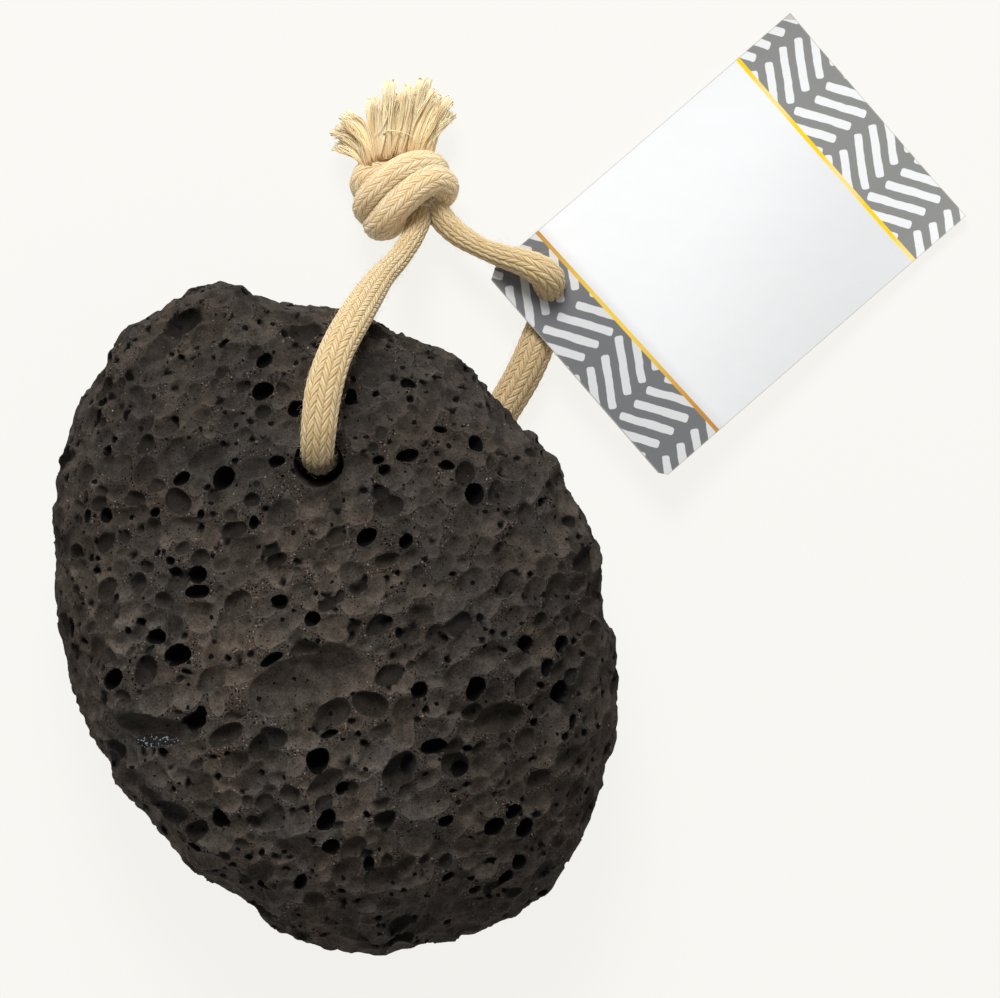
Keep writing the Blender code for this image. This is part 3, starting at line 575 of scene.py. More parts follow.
def chance_pits(skin_points, normals, taken):
    """Bubbles drawn by chance, packed between the ones already there."""
    draw = np.random.default_rng(PIT_SEED)
    flow = np.array([math.cos(math.radians(FLOW_TURN)), math.sin(math.radians(FLOW_TURN)), 0.0])
    squeeze = np.eye(3) - (1 - 1 / FLOW_STRETCH) * np.outer(flow, flow)
    room = sum(tries for tries, *_ in BUBBLE_CLASSES) + len(taken)
    places, radii = np.empty((room, 3)), np.empty(room)
    for count, (centre, radius) in enumerate(taken):
        places[count], radii[count] = squeeze @ centre, radius
    count = len(taken)
    pits = []
    for tries, widths, lengths, spacing, bowls in BUBBLE_CLASSES:
        for k in draw.integers(len(skin_points), size=tries):
            radius = draw.uniform(*widths)
            place = squeeze @ skin_points[k]
            gaps = np.linalg.norm(places[:count] - place, axis=1) - spacing * (radii[:count] + radius)
            if (gaps < 0).any():
                continue
            places[count], radii[count] = place, radius
            count += 1
            depth_ratio = draw.uniform(*(BOWL_DEPTHS if draw.uniform() < bowls else DISH_DEPTHS))
            turn = FLOW_TURN + draw.normal(0.0, FLOW_SPREAD)
            sizes = (radius * draw.uniform(*lengths), radius, radius * depth_ratio)
            pits.append((skin_points[k], normals[k], turn, sizes, rise_of(depth_ratio)))
    return pits


def pores(skin_points, normals, taken):
    """Small deep pores, apart from each other and from the landmarks."""
    draw = np.random.default_rng(PIT_SEED + 1)
    places = np.array([centre for centre, _ in taken])
    radii = np.array([radius for _, radius in taken])
    pits = []
    for k in draw.integers(len(skin_points), size=PORE_TRIES):
        half_width = draw.uniform(*PORE_WIDTHS)
        if (np.linalg.norm(places - skin_points[k], axis=1) < radii + PORE_SPACING * half_width).any():
            continue
        places, radii = np.vstack([places, skin_points[k]]), np.append(radii, half_width)
        half_length = half_width * draw.uniform(*PORE_LENGTHS)
        sizes = (half_length, half_width, half_width * draw.uniform(*PORE_DEPTHS))
        turn = FLOW_TURN + draw.normal(0.0, PORE_SPREAD)
        pits.append((skin_points[k], normals[k], turn, sizes, PORE_RISE))
    return pits


def drill(field):
    """The cord's hole, a little worn open at its mouths."""
    xs, ys, zs = grid_axes()
    top, bottom = np.array(HOLE_TOP), np.array(HOLE_BOTTOM)
    axis = (top - bottom) / np.linalg.norm(top - bottom)
    low = np.floor((np.minimum(top, bottom) - HOLE_PART - GRID_LOW) / VOXEL).astype(int)
    high = np.ceil((np.maximum(top, bottom) + HOLE_PART - GRID_LOW) / VOXEL).astype(int)
    low, high = np.maximum(low, 0), np.minimum(high, field.shape)
    x, y, z = np.meshgrid(xs[low[0]:high[0]] - bottom[0], ys[low[1]:high[1]] - bottom[1],
                          zs[low[2]:high[2]] - bottom[2], indexing="ij", sparse=True)
    along = x * axis[0] + y * axis[1] + z * axis[2]
    away = np.sqrt(np.maximum(x**2 + y**2 + z**2 - along**2, 0.0))
    window = field[low[0]:high[0], low[1]:high[1], low[2]:high[2]]
    mouth = HOLE_WEAR * np.exp(np.clip(window, SKIN_BAND[0], 0.0) / HOLE_WEAR_DEPTH)
    np.maximum(window, HOLE_RADIUS + mouth - away, out=window)


def sample(field, points):
    """Values of a grid at points, from the eight grid points around each."""
    where = (points - GRID_LOW) / VOXEL
    base = np.clip(np.floor(where).astype(int), 0, np.array(field.shape) - 2)
    part = where - base
    value = 0.0
    for corner in np.ndindex(2, 2, 2):
        weight = np.prod(np.where(corner, part, 1 - part), axis=1)
        i, j, k = (base + corner).T
        value = value + weight * field[i, j, k]
    return value


def polygons_of(field):
    """Points and quads of the surface where the field is zero."""
    grid = openvdb.FloatGrid(MESHED_BAND)
    grid.copyFromArray(np.clip(field, -MESHED_BAND, MESHED_BAND))
    points, _, quads = grid.convertToPolygons(isovalue=0.0, adaptivity=0.0)
    return points * VOXEL + np.array(GRID_LOW), quads


def beads(pit):
    """Circles along a hollow, which keep the chance bubbles out of it."""
    centre, normal, turn, (half_length, half_width, _), _ = pit
    along = tangent(normal, turn)
    spread = max(half_length - half_width, 0.0)
    count = 1 + round(2 * spread / half_width)
    shares = np.linspace(-1, 1, count) if count > 1 else [0.0]
    return [(centre + along * spread * share, half_width) for share in shares]


def wander(points):
    """A slow uneven drift of the points, from a few seeded waves."""
    draw = np.random.default_rng(WANDER_SEED)
    total = np.zeros_like(points)
    for _ in range(WANDER_WAVES):
        direction, shift = draw.normal(size=3), draw.normal(size=3)
        direction *= 2 * math.pi / draw.uniform(*WANDER_LENGTHS) / np.linalg.norm(direction)
        total += np.sin(points @ direction + draw.uniform(0, 6.28))[:, None] * shift / np.linalg.norm(shift)
    return WANDER * total / math.sqrt(WANDER_WAVES)


def in_crystals(points):
    """1 in the patch of crystals beside the furrow and 0 away from it."""
    x, y, half_length, half_width, turn = CRYSTALS
    turn = math.radians(turn)
    dx, dy = points[:, 0] - x, points[:, 1] - y
    along = (dx * math.cos(turn) + dy * math.sin(turn)) / half_length
    across = (dy * math.cos(turn) - dx * math.sin(turn)) / half_width
    return np.clip(2.0 - 1.6 * np.hypot(along, across), 0.0, 1.0) * (points[:, 2] > CRYSTALS_LOW)


def carved_stone():
    """Points and quads of the stone's skin, and for each point its depth below the worn skin, the nearest
    bubble's own tone, how much painted shade that bubble gets, whether it is deep enough to be painted
    black as shade, and whether the point is in the patch of crystals."""
    distance = worn_skin()
    skin_points, _ = polygons_of(distance)
    draw = np.random.default_rng(PIT_SEED)
    skin_points = skin_points[draw.choice(len(skin_points), SKIN_PLACES, replace=False)]
    normals = normals_of(skin_points, distance)
    seen = seen_pits(distance)
    taken = [bead for pit in seen for bead in beads(pit)]
    for mouth, margin in zip((HOLE_TOP, HOLE_BOTTOM), HOLE_MARGINS):
        taken.append((np.array(mouth), HOLE_RADIUS + margin))
    pits = seen + chance_pits(skin_points, normals, taken) + pores(skin_points, normals, taken)
    field = distance.copy()
    nearest = np.full(field.shape, -np.inf, dtype=np.float32)
    owners = np.zeros(field.shape, dtype=np.int32)
    for number, (centre, normal, turn, sizes, rise) in enumerate(pits, start=1):
        carve(field, nearest, owners, number, centre, normal, tangent(normal, turn), sizes, rise)
    drill(field)
    points, quads = polygons_of(field)
    i, j, k = np.round((points - GRID_LOW) / VOXEL).astype(int).T
    owner = owners[i, j, k]
    depth = -sample(distance, points)
    tones = np.concatenate([[0.5], draw.uniform(size=len(pits))])
    ratios = np.array([0.0] + [sizes[2] / sizes[1] for *_, sizes, _ in pits])
    values = {
        "depth": depth,
        "tone": tones[owner],
        "bubble_shade": np.clip((ratios[owner] - SHADE_RATIO) / SHADE_SPAN, 0.0, 1.0),
        "black_shade": ratios[owner] > DARK_RATIO,
        "crystals": in_crystals(points),
    }
    points = points + wander(points)
    points[:, 2] = np.maximum(points[:, 2], 0.0)
    return points, quads, values


def quad_mesh(name, points, quads):
    """A mesh from large arrays of points, in millimetres, and of quads."""
    mesh = bpy.data.meshes.new(name)
    mesh.vertices.add(len(points))
    mesh.vertices.foreach_set("co", (points * MM).astype(np.float32).ravel())
    mesh.loops.add(quads.size)
    mesh.loops.foreach_set("vertex_index", quads.astype(np.int32).ravel())
    mesh.polygons.add(len(quads))
    mesh.polygons.foreach_set("loop_start", np.arange(0, quads.size, 4, dtype=np.int32))
    mesh.update(calc_edges=True)
    mesh.flip_normals()
    return mesh


def make_stone(material):
    points, quads, values = carved_stone()
    mesh = quad_mesh("carved", points, quads)
    for name, value in values.items():
        add_values(mesh, name, value)
    full = bpy.data.objects.new("carved", mesh)
    bpy.context.scene.collection.objects.link(full)
    fewer = full.modifiers.new("fewer", "DECIMATE")
    fewer.ratio = STONE_TRIANGLES / (2 * len(quads))
    evaluated = full.evaluated_get(bpy.context.evaluated_depsgraph_get())
    light = bpy.data.meshes.new_from_object(evaluated)
    bpy.data.objects.remove(full)
    light.shade_smooth()
    light.set_sharp_from_angle(angle=math.radians(RIM_ANGLE))
    return new_piece("pumice_stone", light, "stone", material)


# ---- Smooth routes and tubes ----------------------------------------------------------------------------
def smooth_route(points, step):
    """Points about a step apart on the smooth curve through the given points, and how far along each is.
    What the points hold beside x, y and z changes smoothly too."""
    table = np.array(points, dtype=float)
    before = np.vstack([table[:1], table[:-2]])
    start, end = table[:-1], table[1:]
    after = np.vstack([table[2:], table[-1:]])
    t = np.linspace(0.0, 1.0, CURVE_STEPS, endpoint=False)[None, :, None]
    before, start, end, after = (part[:, None, :] for part in (before, start, end, after))
    fine = 0.5 * (2 * start + (end - before) * t + (2 * before - 5 * start + 4 * end - after) * t**2
                  + (3 * start - before - 3 * end + after) * t**3)
    fine = np.vstack([fine.reshape(-1, table.shape[1]), table[-1:]])
    along = np.concatenate([[0.0], np.cumsum(np.linalg.norm(np.diff(fine[:, :3], axis=0), axis=1))])
    wanted = np.linspace(0.0, along[-1], round(along[-1] / step) + 1)
    return np.stack([np.interp(wanted, along, column) for column in fine.T], axis=1), wanted


def bent_line(foot, through, tip, count):
    """Points on a simple bend from foot to tip by way of through, and how far along each is, 0 to 1."""
    t = np.linspace(0, 1, count)[:, None]
    bend = 2 * through - 0.5 * (foot + tip)
    return (1 - t) ** 2 * foot + 2 * t * (1 - t) * bend + t * t * tip, t


def carried_frames(line):
    """Two directions across a line at each of its points, carried along it without twisting, and the
    direction along it."""
    tangents = np.gradient(line, axis=0)
    tangents /= np.linalg.norm(tangents, axis=1)[:, None]
    side = np.cross(tangents[0], [0.0, 0.0, 1.0])
    sides = []
    for direction in tangents:
        side = side - direction * side.dot(direction)
        side = side / np.linalg.norm(side)
        sides.append(side)
    sides = np.array(sides)
    return sides, np.cross(tangents, sides), tangents


def tube_points(line, reach, around):
    """Rings of points round a line, as far from it as reach says."""
    sides, ups, _ = carried_frames(line)
    turn = 2 * np.pi * np.arange(around) / around
    rings = (line[:, None, :] + sides[:, None, :] * (reach * np.cos(turn))[:, :, None]
             + ups[:, None, :] * (reach * np.sin(turn))[:, :, None])
    return rings.reshape(-1, 3)


def tube_faces(rings, around):
    """Faces between the rings of a tube, each ring with this many points."""
    first = np.arange(rings - 1)[:, None] * around
    k = np.arange(around)[None, :]
    after = (k + 1) % around
    quads = np.stack([first + k, first + after, first + around + after, first + around + k], axis=-1)
    return quads.reshape(-1, 4).tolist()


def thread_tube(line, radius, around):
    """A thin tube that narrows towards its end."""
    taper = np.linspace(1.0, THREAD_TAPER, len(line))[:, None] * radius
    k = np.arange(around)
    last = (len(line) - 1) * around
    faces = tube_faces(len(line), around) + [k[::-1].tolist(), (last + k).tolist()]
    return tube_points(line, taper, around), faces


def take_in(points, faces, more_points, more_faces):
    """Adds a part's points and faces to the lists of all of them."""
    start = len(points)
    points += more_points.tolist()
    faces += [[start + index for index in face] for face in more_faces]


# ---- Cord and knot --------------------------------------------------------------------------------------
def stitch_relief(column, row):
    """Height of the braid, 0 to 1, at a place counted in columns round it and stitches along it."""
    number = np.floor(column)
    side = column - number - 0.5
    lean = np.where(number % 2 == 0, 1.0, -1.0)
    place = row + lean * side * STITCH_LEAN + 0.5 * (number % 2)
    across = place - np.floor(place) - 0.5
    dome = np.sqrt(1 - STITCH_ROUNDING * across**2)
    arch = 1 - (2 * side) ** 2
    return dome * (COLUMN_EDGE + (1 - COLUMN_EDGE) * arch)


def braid_tube(route, stitch_length=STITCH_LENGTH, stitch_height=STITCH_RELIEF):
    """Points, faces and the braid coordinates of the faces' corners, for a braided cord along a route."""
    line, along = smooth_route(route, BRAID_STEP)
    centres, radii = line[:, :3], line[:, 3]
    around = BRAID_COLUMNS * POINTS_PER_COLUMN
    column = np.arange(around) / POINTS_PER_COLUMN
    row = along / stitch_length
    relief = stitch_relief(column[None, :], row[:, None])
    points = tube_points(centres, radii[:, None] + stitch_height * (relief - RELIEF_MIDDLE), around)
    rings = len(centres)
    low, high = column[None, :], column[None, :] + 1 / POINTS_PER_COLUMN
    start, end = row[:-1, None], row[1:, None]
    corners = [(low, start), (high, start), (high, end), (low, end)]
    shape = (rings - 1, around)
    marks = [np.stack([np.broadcast_to(u, shape), np.broadcast_to(v, shape)], axis=-1) for u, v in corners]
    marks = np.stack(marks, axis=2).reshape(-1, 2)
    # Both ends are closed with a fan of triangles round a middle point.
    middle = len(points)
    ring, after = np.arange(around), (np.arange(around) + 1) % around
    base = (rings - 1) * around
    start_cap = np.stack([np.full(around, middle), after, ring], axis=1)
    end_cap = np.stack([np.full(around, middle + 1), base + ring, base + after], axis=1)
    faces = tube_faces(rings, around) + start_cap.tolist() + end_cap.tolist()
    cap_marks = np.zeros((start_cap.size + end_cap.size, 2))
    return np.vstack([points, centres[0], centres[-1]]), faces, np.concatenate([marks, cap_marks])


def fuzz(route, draw):
    """Points, faces and braid coordinates of the short fibres that stand off a cord along a route."""
    line, along = smooth_route(route, BRAID_STEP)
    sides, ups, tangents = carried_frames(line[:, :3])
    points, faces = [], []
    for _ in range(round(along[-1] * FUZZ_PER_MM)):
        k, turn = draw.integers(len(line)), draw.uniform(0, 2 * np.pi)
        outward = sides[k] * math.cos(turn) + ups[k] * math.sin(turn)
        around = np.cross(tangents[k], outward)
        lean = tangents[k] * draw.normal(0, FUZZ_LEANS[0]) + around * draw.normal(0, FUZZ_LEANS[1])
        length = draw.uniform(*FUZZ_LENGTHS)
        root = line[k, :3] + outward * (line[k, 3] - FUZZ_ROOT)
        middle = root + (outward + 0.4 * lean) * length * 0.5
        tip = root + (0.7 * outward + lean) * length
        take_in(points, faces, *thread_tube(np.array([root, middle, tip]), FUZZ_RADIUS, 3))
    corners = sum(len(face) for face in faces)
    points = np.array(points)
    points[:, 2] = np.maximum(points[:, 2], FUZZ_LOW)
    return points, faces, np.full((corners, 2), 0.5)


def join_tubes(name, tubes):
    """One mesh of several tubes, with their braid coordinates."""
    points, faces, marks = [], [], []
    for part_points, part_faces, part_marks in tubes:
        take_in(points, faces, part_points, part_faces)
        marks.append(part_marks)
    mesh = new_mesh(name, points, faces)
    layer = mesh.uv_layers.new(name="braid")
    layer.data.foreach_set("uv", np.concatenate(marks).astype(np.float32).ravel())
    return mesh


def make_cord(material, with_pieces):
    route = []
    for x, y, z, radius in CORD_START + CORD_ROUTE + CORD_END:
        near = math.exp(-(math.dist((x, y, z), CORD_BULGE) / CORD_BULGE_REACH) ** 2)
        route.append((x, y, z, radius + CORD_BULGE_HEIGHT * near))
    fibres = fuzz(CORD_ROUTE, np.random.default_rng(FUZZ_SEED))
    mesh = join_tubes("braided_cord", [braid_tube(route), fibres])
    cord = new_piece("braided_cord", mesh, "cord", material)
    line, along = smooth_route(route, 1.0)
    path = (line[:, :3] * MM).tolist()
    path[0]
    float(along[-1]) * MM
    CORD_DIAMETER * MM


def make_knot(material):
    draw = np.random.default_rng(FUZZ_SEED + 1)
    tubes = [braid_tube(CUT_END)]
    for strand, radius in zip(KNOT_STRANDS, KNOT_RADII):
        route = [(*point, radius) for point in strand]
        tubes += [braid_tube(route, KNOT_STITCH, KNOT_RELIEF), fuzz(route, draw)]
    return new_piece("overhand_knot", join_tubes("overhand_knot", tubes), "knot", material)


# ---- Frayed ends ----------------------------------------------------------------------------------------
def tuft_way(tuft):
    """The foot, middle and tip of a tuft, and the level direction across it."""
    foot, through, tip = (np.array(point) for point in tuft[:3])
    run = tip - foot
    return foot, through, tip, np.array([run[1], -run[0], 0.0]) / math.hypot(run[0], run[1])


def yarn_path(tuft, draw):
    """A yarn's wavy way from the foot of its tuft to its tip."""
    foot, through, tip, across = tuft_way(tuft)
    wide = tuft[3]
    share, rise = draw.uniform(-1, 1), draw.uniform(-1, 1)
    lift = [0, 0, TUFT_THICKNESS * rise]
    foot_stray, middle_stray, tip_stray = YARN_STRAYS
    foot = foot + across * FOOT_WIDTH * (share + draw.normal(0, foot_stray)) + lift
    through = through + across * TUFT_WAIST * wide * (share + draw.normal(0, middle_stray)) + lift
    tip = tip + across * wide * (share + draw.normal(0, tip_stray)) + lift
    tip = through + (tip - through) * draw.uniform(*YARN_REACH) * (1 - TUFT_ROUNDING * share**2)
    line, t = bent_line(foot, through, tip, YARN_POINTS)
    wave = np.sin(t * draw.uniform(*YARN_WAVES) + draw.uniform(0, 6.28)) * (0.3 + 0.7 * t)
    sideways, upward = draw.normal(0, WAVE_HEIGHT), draw.normal(0, WAVE_HEIGHT)
    line = line + wave * sideways * across + wave * upward * [0, 0, 1]
    line[:, 2] = np.maximum(line[:, 2], YARN_LOW)
    return line


def yarn_threads(line, draw):
    """The threads of one yarn, twisted together at its foot and loose at its tip."""
    sides, ups, _ = carried_frames(line)
    t = np.linspace(0, 1, len(line))[:, None]
    threads = []
    for k in range(YARN_THREADS):
        turn = 2 * math.pi * k / YARN_THREADS + YARN_TWIST * t + draw.normal(0, 0.25)
        loose = 1 + draw.uniform(0.1, 1.2) * np.clip((t - 0.6) / 0.4, 0, 1) ** 2
        reach = YARN_RADIUS * loose * draw.uniform(0.55, 1.0)
        path = line + reach * (np.cos(turn) * sides + np.sin(turn) * ups)
        keep = round(len(path) * draw.uniform(0.91, 1.0))
        threads.append(path[:keep])
    return threads


def tuft_core(tuft, draw):
    """The close-packed fibres inside a tuft: a flat ribbed body that ends in a ragged cut."""
    foot, through, tip, across = tuft_way(tuft)
    forward = (tip - foot) / np.linalg.norm(tip - foot)
    line, t = bent_line(foot, through, tip, CORE_RINGS)
    turn = 2 * np.pi * np.arange(CORE_SIDES) / CORE_SIDES
    ribs = 1.0
    for count, height, twist in CORE_RIBS:
        ribs = ribs + height * np.sin(count * turn + twist * t + draw.uniform(0, 6))
    wide = (FOOT_WIDTH * (1 - t) + tuft[3] * t) * CORE_SPREAD
    thick = TUFT_THICKNESS * (0.75 - 0.5 * t**2)
    points = line[:, None, :] + across * (wide * ribs * np.cos(turn))[:, :, None]
    points = points + np.array([0, 0, 1]) * (thick * ribs * np.sin(turn))[:, :, None]
    jags = np.repeat(draw.uniform(*CORE_JAGS, CORE_SIDES // JAG_SIDES), JAG_SIDES)
    jags = jags * (1 - 0.5 * np.cos(turn) ** 2)
    late = np.clip((t - 0.7) / 0.3, 0, 1)
    points = points + forward * (late * jags)[:, :, None]
    points[:, :, 2] = np.maximum(points[:, :, 2], CORE_LOW)
    k = np.arange(CORE_SIDES)
    middle = CORE_RINGS * CORE_SIDES
    last = middle - CORE_SIDES
    cap = np.stack([last + k, last + (k + 1) % CORE_SIDES, np.full(CORE_SIDES, middle)], axis=1)
    points = np.vstack([points.reshape(-1, 3), points[-1].mean(axis=0) - CORE_DIMPLE * forward])
    tones = np.append(np.tile(draw.uniform(0, 1, CORE_SIDES), CORE_RINGS), 0.5)
    tips = np.append(np.repeat(t[:, 0], CORE_SIDES), 0.9)
    return points, tube_faces(CORE_RINGS, CORE_SIDES) + cap.tolist(), tones, tips


def make_frayed_ends(material):
    draw = np.random.default_rng(FRAY_SEED)
    threads = []
    for tuft in FRAY_TUFTS:
        for _ in range(tuft[-1]):
            shade = draw.uniform()
            yarn = yarn_threads(yarn_path(tuft, draw), draw)
            threads += [(thread, THREAD_RADIUS, shade) for thread in yarn]
    points, faces, tones, tips = [], [], [], []
    for tuft in FRAY_TUFTS:
        core, core_faces, core_tones, core_tips = tuft_core(tuft, draw)
        take_in(points, faces, core, core_faces)
        tones += core_tones.tolist()
        tips += core_tips.tolist()
    for loose in LOOSE_THREADS:
        line, _ = smooth_route(loose, LOOSE_STEP)
        threads.append((line, LOOSE_RADIUS, 1.0))
    for line, radius, shade in threads:
        tube, thread_faces = thread_tube(line, radius * draw.uniform(0.8, 1.25), THREAD_SIDES)
        take_in(points, faces, tube, thread_faces)
        tones += [np.clip(shade + draw.normal(0, 0.15), 0, 1)] * len(tube)
        tips += np.repeat(np.linspace(0, 1, len(line)), THREAD_SIDES).tolist()
    mesh = new_mesh("frayed_threads", points, faces)
    add_values(mesh, "tone", tones)
    add_values(mesh, "tip", tips)
    return new_piece("frayed_threads", mesh, "frayed_ends", material)


# ---- Tag ------------------------------------------------------------------------------------------------
def punch():
    """The round hole's cutter."""
    bpy.ops.mesh.primitive_cylinder_add(vertices=48, radius=TAG_HOLE_RADIUS, depth=CUTTER_HEIGHT)
    cutter = bpy.context.object
    cutter.location = (TAG_HOLE[0], -TAG_HOLE[1], 0.0)
    return cutter


def corner_cutter(y, outward, along, across):
    """The cutter that clips a corner of the threaded end, this far along the card and across it."""
    reach = math.hypot(along, across)
    bpy.ops.mesh.primitive_cube_add(size=1.0)
    cutter = bpy.context.object
    cutter.scale = (2 * reach, reach, CUTTER_HEIGHT)
    cutter.rotation_euler = (0.0, 0.0, outward * math.atan2(across, along))
    middle = Vector((along / 2, y - outward * across / 2, 0.0))
    cutter.location = middle + Vector((-across, outward * along, 0.0)) / 2
    return cutter


def flat_tag():
    """The card flat on the table: X along it from the threaded end, and -Y across it, with its hole."""
    columns, rows = round(TAG_LENGTH), round(TAG_WIDTH)
    bpy.ops.mesh.primitive_grid_add(x_subdivisions=columns, y_subdivisions=rows, size=1.0)
    card = bpy.context.object
    card.scale = (TAG_LENGTH, TAG_WIDTH, 1.0)
    card.location = (TAG_LENGTH / 2, -TAG_WIDTH / 2, 0.0)
    thick = card.modifiers.new("thick", "SOLIDIFY")
    thick.thickness = TAG_THICKNESS
    thick.offset = 1.0
    cutters = [punch()]
    for y, outward, clip in zip((0.0, -TAG_WIDTH), (1, -1), TAG_CLIPS):
        cutters.append(corner_cutter(y, outward, *clip))
    for cutter in cutters:
        cut = card.modifiers.new("cut", "BOOLEAN")
        cut.operation = "DIFFERENCE"
        cut.object = cutter
    mesh = bpy.data.meshes.new_from_object(card.evaluated_get(bpy.context.evaluated_depsgraph_get()))
    mesh.transform(card.matrix_world)
    for item in [card, *cutters]:
        bpy.data.objects.remove(item)
    return mesh


def make_tag(material, edge):
    """The card bent a little, tilted and turned to where it lies, with its print laid out on it."""
    mesh = flat_tag()
    for face in mesh.polygons:
        face.material_index = int(abs(face.normal.z) < 0.5)
    layer = mesh.uv_layers.new(name="print")
    for loop in mesh.loops:
        x, y, _ = mesh.vertices[loop.vertex_index].co
        layer.data[loop.index].uv = (x, -y)
    tilt = math.asin((TAG_HIGH - TAG_LOW) / TAG_LENGTH)
    turn = math.radians(TAG_TURN)
    for vertex in mesh.vertices:
        x, y, z = vertex.co
        along, across = x / TAG_LENGTH, 2 * -y / TAG_WIDTH - 1
        z += TAG_BOW * math.sin(math.pi * along) * (0.6 + 0.4 * across**2)
        z += TAG_CORNER_LIFT * along**3 * across**4
        level = x * math.cos(tilt) + z * math.sin(tilt)
        height = TAG_HIGH - x * math.sin(tilt) + z * math.cos(tilt)
        vertex.co = (TAG_CORNER[0] + level * math.cos(turn) - y * math.sin(turn),
                     TAG_CORNER[1] + level * math.sin(turn) + y * math.cos(turn), height)
        vertex.co *= MM
    tag = new_piece("paper_tag", mesh, "tag", material)
    tag.data.materials.append(edge)
    return tag


# ---- Materials ------------------------------------------------------------------------------------------
class Value:
    """A number or a colour that nodes work out, with the usual signs for its arithmetic."""

    def __init__(self, shader, socket):
        self.shader = shader
        self.socket = socket

    def __add__(self, other):
        return self.shader.math("ADD", self, other)

    def __sub__(self, other):
        return self.shader.math("SUBTRACT", self, other)

    def __rsub__(self, other):
        return self.shader.math("SUBTRACT", other, self)

    def __mul__(self, other):
        return self.shader.math("MULTIPLY", self, other)

    def __truediv__(self, other):
        return self.shader.math("DIVIDE", self, other)

    def __mod__(self, other):
        return self.shader.math("FLOORED_MODULO", self, other)

    def __gt__(self, other):
        return self.shader.math("GREATER_THAN", self, other)

    def __lt__(self, other):
        return self.shader.math("LESS_THAN", self, other)

    def __abs__(self):
        return self.shader.math("ABSOLUTE", self)

    def __floor__(self):
        return self.shader.math("FLOOR", self)

    def __round__(self):
        return self.shader.math("ROUND", self)


class Shader:
    """A Principled material and short ways to add its nodes. What goes into a node is a Value, a number or
    a colour of three numbers, and one number stands for a grey."""

    def __init__(self, name, settings):
        self.material = bpy.data.materials.new(name)
        self.material.use_nodes = True
        self.tree = self.material.node_tree
        self.principled = self.tree.nodes["Principled BSDF"]
        for key, value in {"Specular IOR Level": 0.3, **settings}.items():
            self.put(self.principled.inputs[key], value)

    def put(self, socket, value):
        if isinstance(value, Value):
            self.tree.links.new(value.socket, socket)
        elif socket.type == "RGBA":
            red, green, blue = value if isinstance(value, tuple) else (value,) * 3
            socket.default_value = (red, green, blue, 1.0)
        else:
            socket.default_value = value

    def node(self, kind, inputs, **settings):
        node = self.tree.nodes.new(kind)
        for key, value in settings.items():
            setattr(node, key, value)
        for key, value in inputs.items():
            self.put(node.inputs[key], value)
        return node

    def add(self, kind, inputs, output=0, **settings):
        """A new node, as the value that it gives out."""
        return Value(self, self.node(kind, inputs, **settings).outputs[output])

    def math(self, operation, *values):
        return self.add("ShaderNodeMath", dict(enumerate(values)), operation=operation)

    def larger(self, first, second):
        return self.math("MAXIMUM", first, second)

    def smaller(self, first, second):
        return self.math("MINIMUM", first, second)

    def step(self, value, low, high, start=0.0, end=1.0):
        """A smooth change from start to end as the value goes from low to high."""
        inputs = {0: value, 1: low, 2: high, 3: start, 4: end}
        return self.add("ShaderNodeMapRange", inputs, interpolation_type="SMOOTHSTEP")

    def mix(self, share, first, second, blend="MIX"):
        inputs = {0: share, 6: first, 7: second}
        return self.add("ShaderNodeMix", inputs, 2, data_type="RGBA", blend_type=blend)

    def tint(self, colour, by):
        return self.mix(1.0, colour, by, "MULTIPLY")

    def place(self):
        """The point of the surface, in millimetres."""
        return self.scaled(self.add("ShaderNodeTexCoord", {}, "Object"), 1 / MM)

    def scaled(self, vector, share):
        return self.add("ShaderNodeVectorMath", {0: vector, "Scale": share}, operation="SCALE")

    def moved(self, vector, shift):
        return self.add("ShaderNodeVectorMath", {0: vector, 1: shift}, operation="ADD")

    def away(self, place, point):
        """How far a place is from a point."""
        return self.add("ShaderNodeVectorMath", {0: place, 1: point}, "Value", operation="DISTANCE")

    def parts(self, vector):
        """The three numbers of a vector."""
        return [Value(self, socket) for socket in self.node("ShaderNodeSeparateXYZ", {0: vector}).outputs]

    def laid_out(self, name):
        """The two flat coordinates of this name."""
        return self.parts(self.add("ShaderNodeUVMap", {}, uv_map=name))[:2]

    def attribute(self, name):
        return self.add("ShaderNodeAttribute", {}, "Fac", attribute_name=name)

    def noise(self, place, per_mm, detail=3.0, rough=0.6):
        inputs = {"Vector": place, "Scale": per_mm, "Detail": detail, "Roughness": rough}
        return self.add("ShaderNodeTexNoise", inputs, "Fac")

    def chance(self, *numbers):
        """A number from 0 to 1 by chance, the same wherever the three numbers are the same."""
        own = self.add("ShaderNodeCombineXYZ", dict(enumerate(numbers)))
        return self.add("ShaderNodeTexWhiteNoise", {0: own}, "Value")

    def cells(self, place, per_mm):
        """Distance to the nearest seed of a scattering, in cells, and a number of its own for each."""
        node = self.node("ShaderNodeTexVoronoi", {"Vector": place, "Scale": per_mm})
        own = self.add("ShaderNodeSeparateColor", {0: Value(self, node.outputs["Color"])})
        return Value(self, node.outputs["Distance"]), own

    def dots(self, place, per_mm, share, small, large, soft=0.06):
        """Spots scattered over a share of the cells, with radii from small to large, counted in cells."""
        near, own = self.cells(place, per_mm)
        radius = self.add("ShaderNodeMapRange", {0: own, 1: 0.0, 2: share, 3: large, 4: small})
        return self.step(near - radius, -soft, soft, 1.0, 0.0) * (own < share)

    def finish(self, colour, height=None, bump=0.1):
        """The material, with its colour and a fine relief whose height is bump in millimetres."""
        self.put(self.principled.inputs["Base Color"], colour)
        if height is not None:
            inputs = {"Strength": 1.0, "Distance": bump * MM, "Height": height}
            self.put(self.principled.inputs["Normal"], self.add("ShaderNodeBump", inputs))
        return self.material


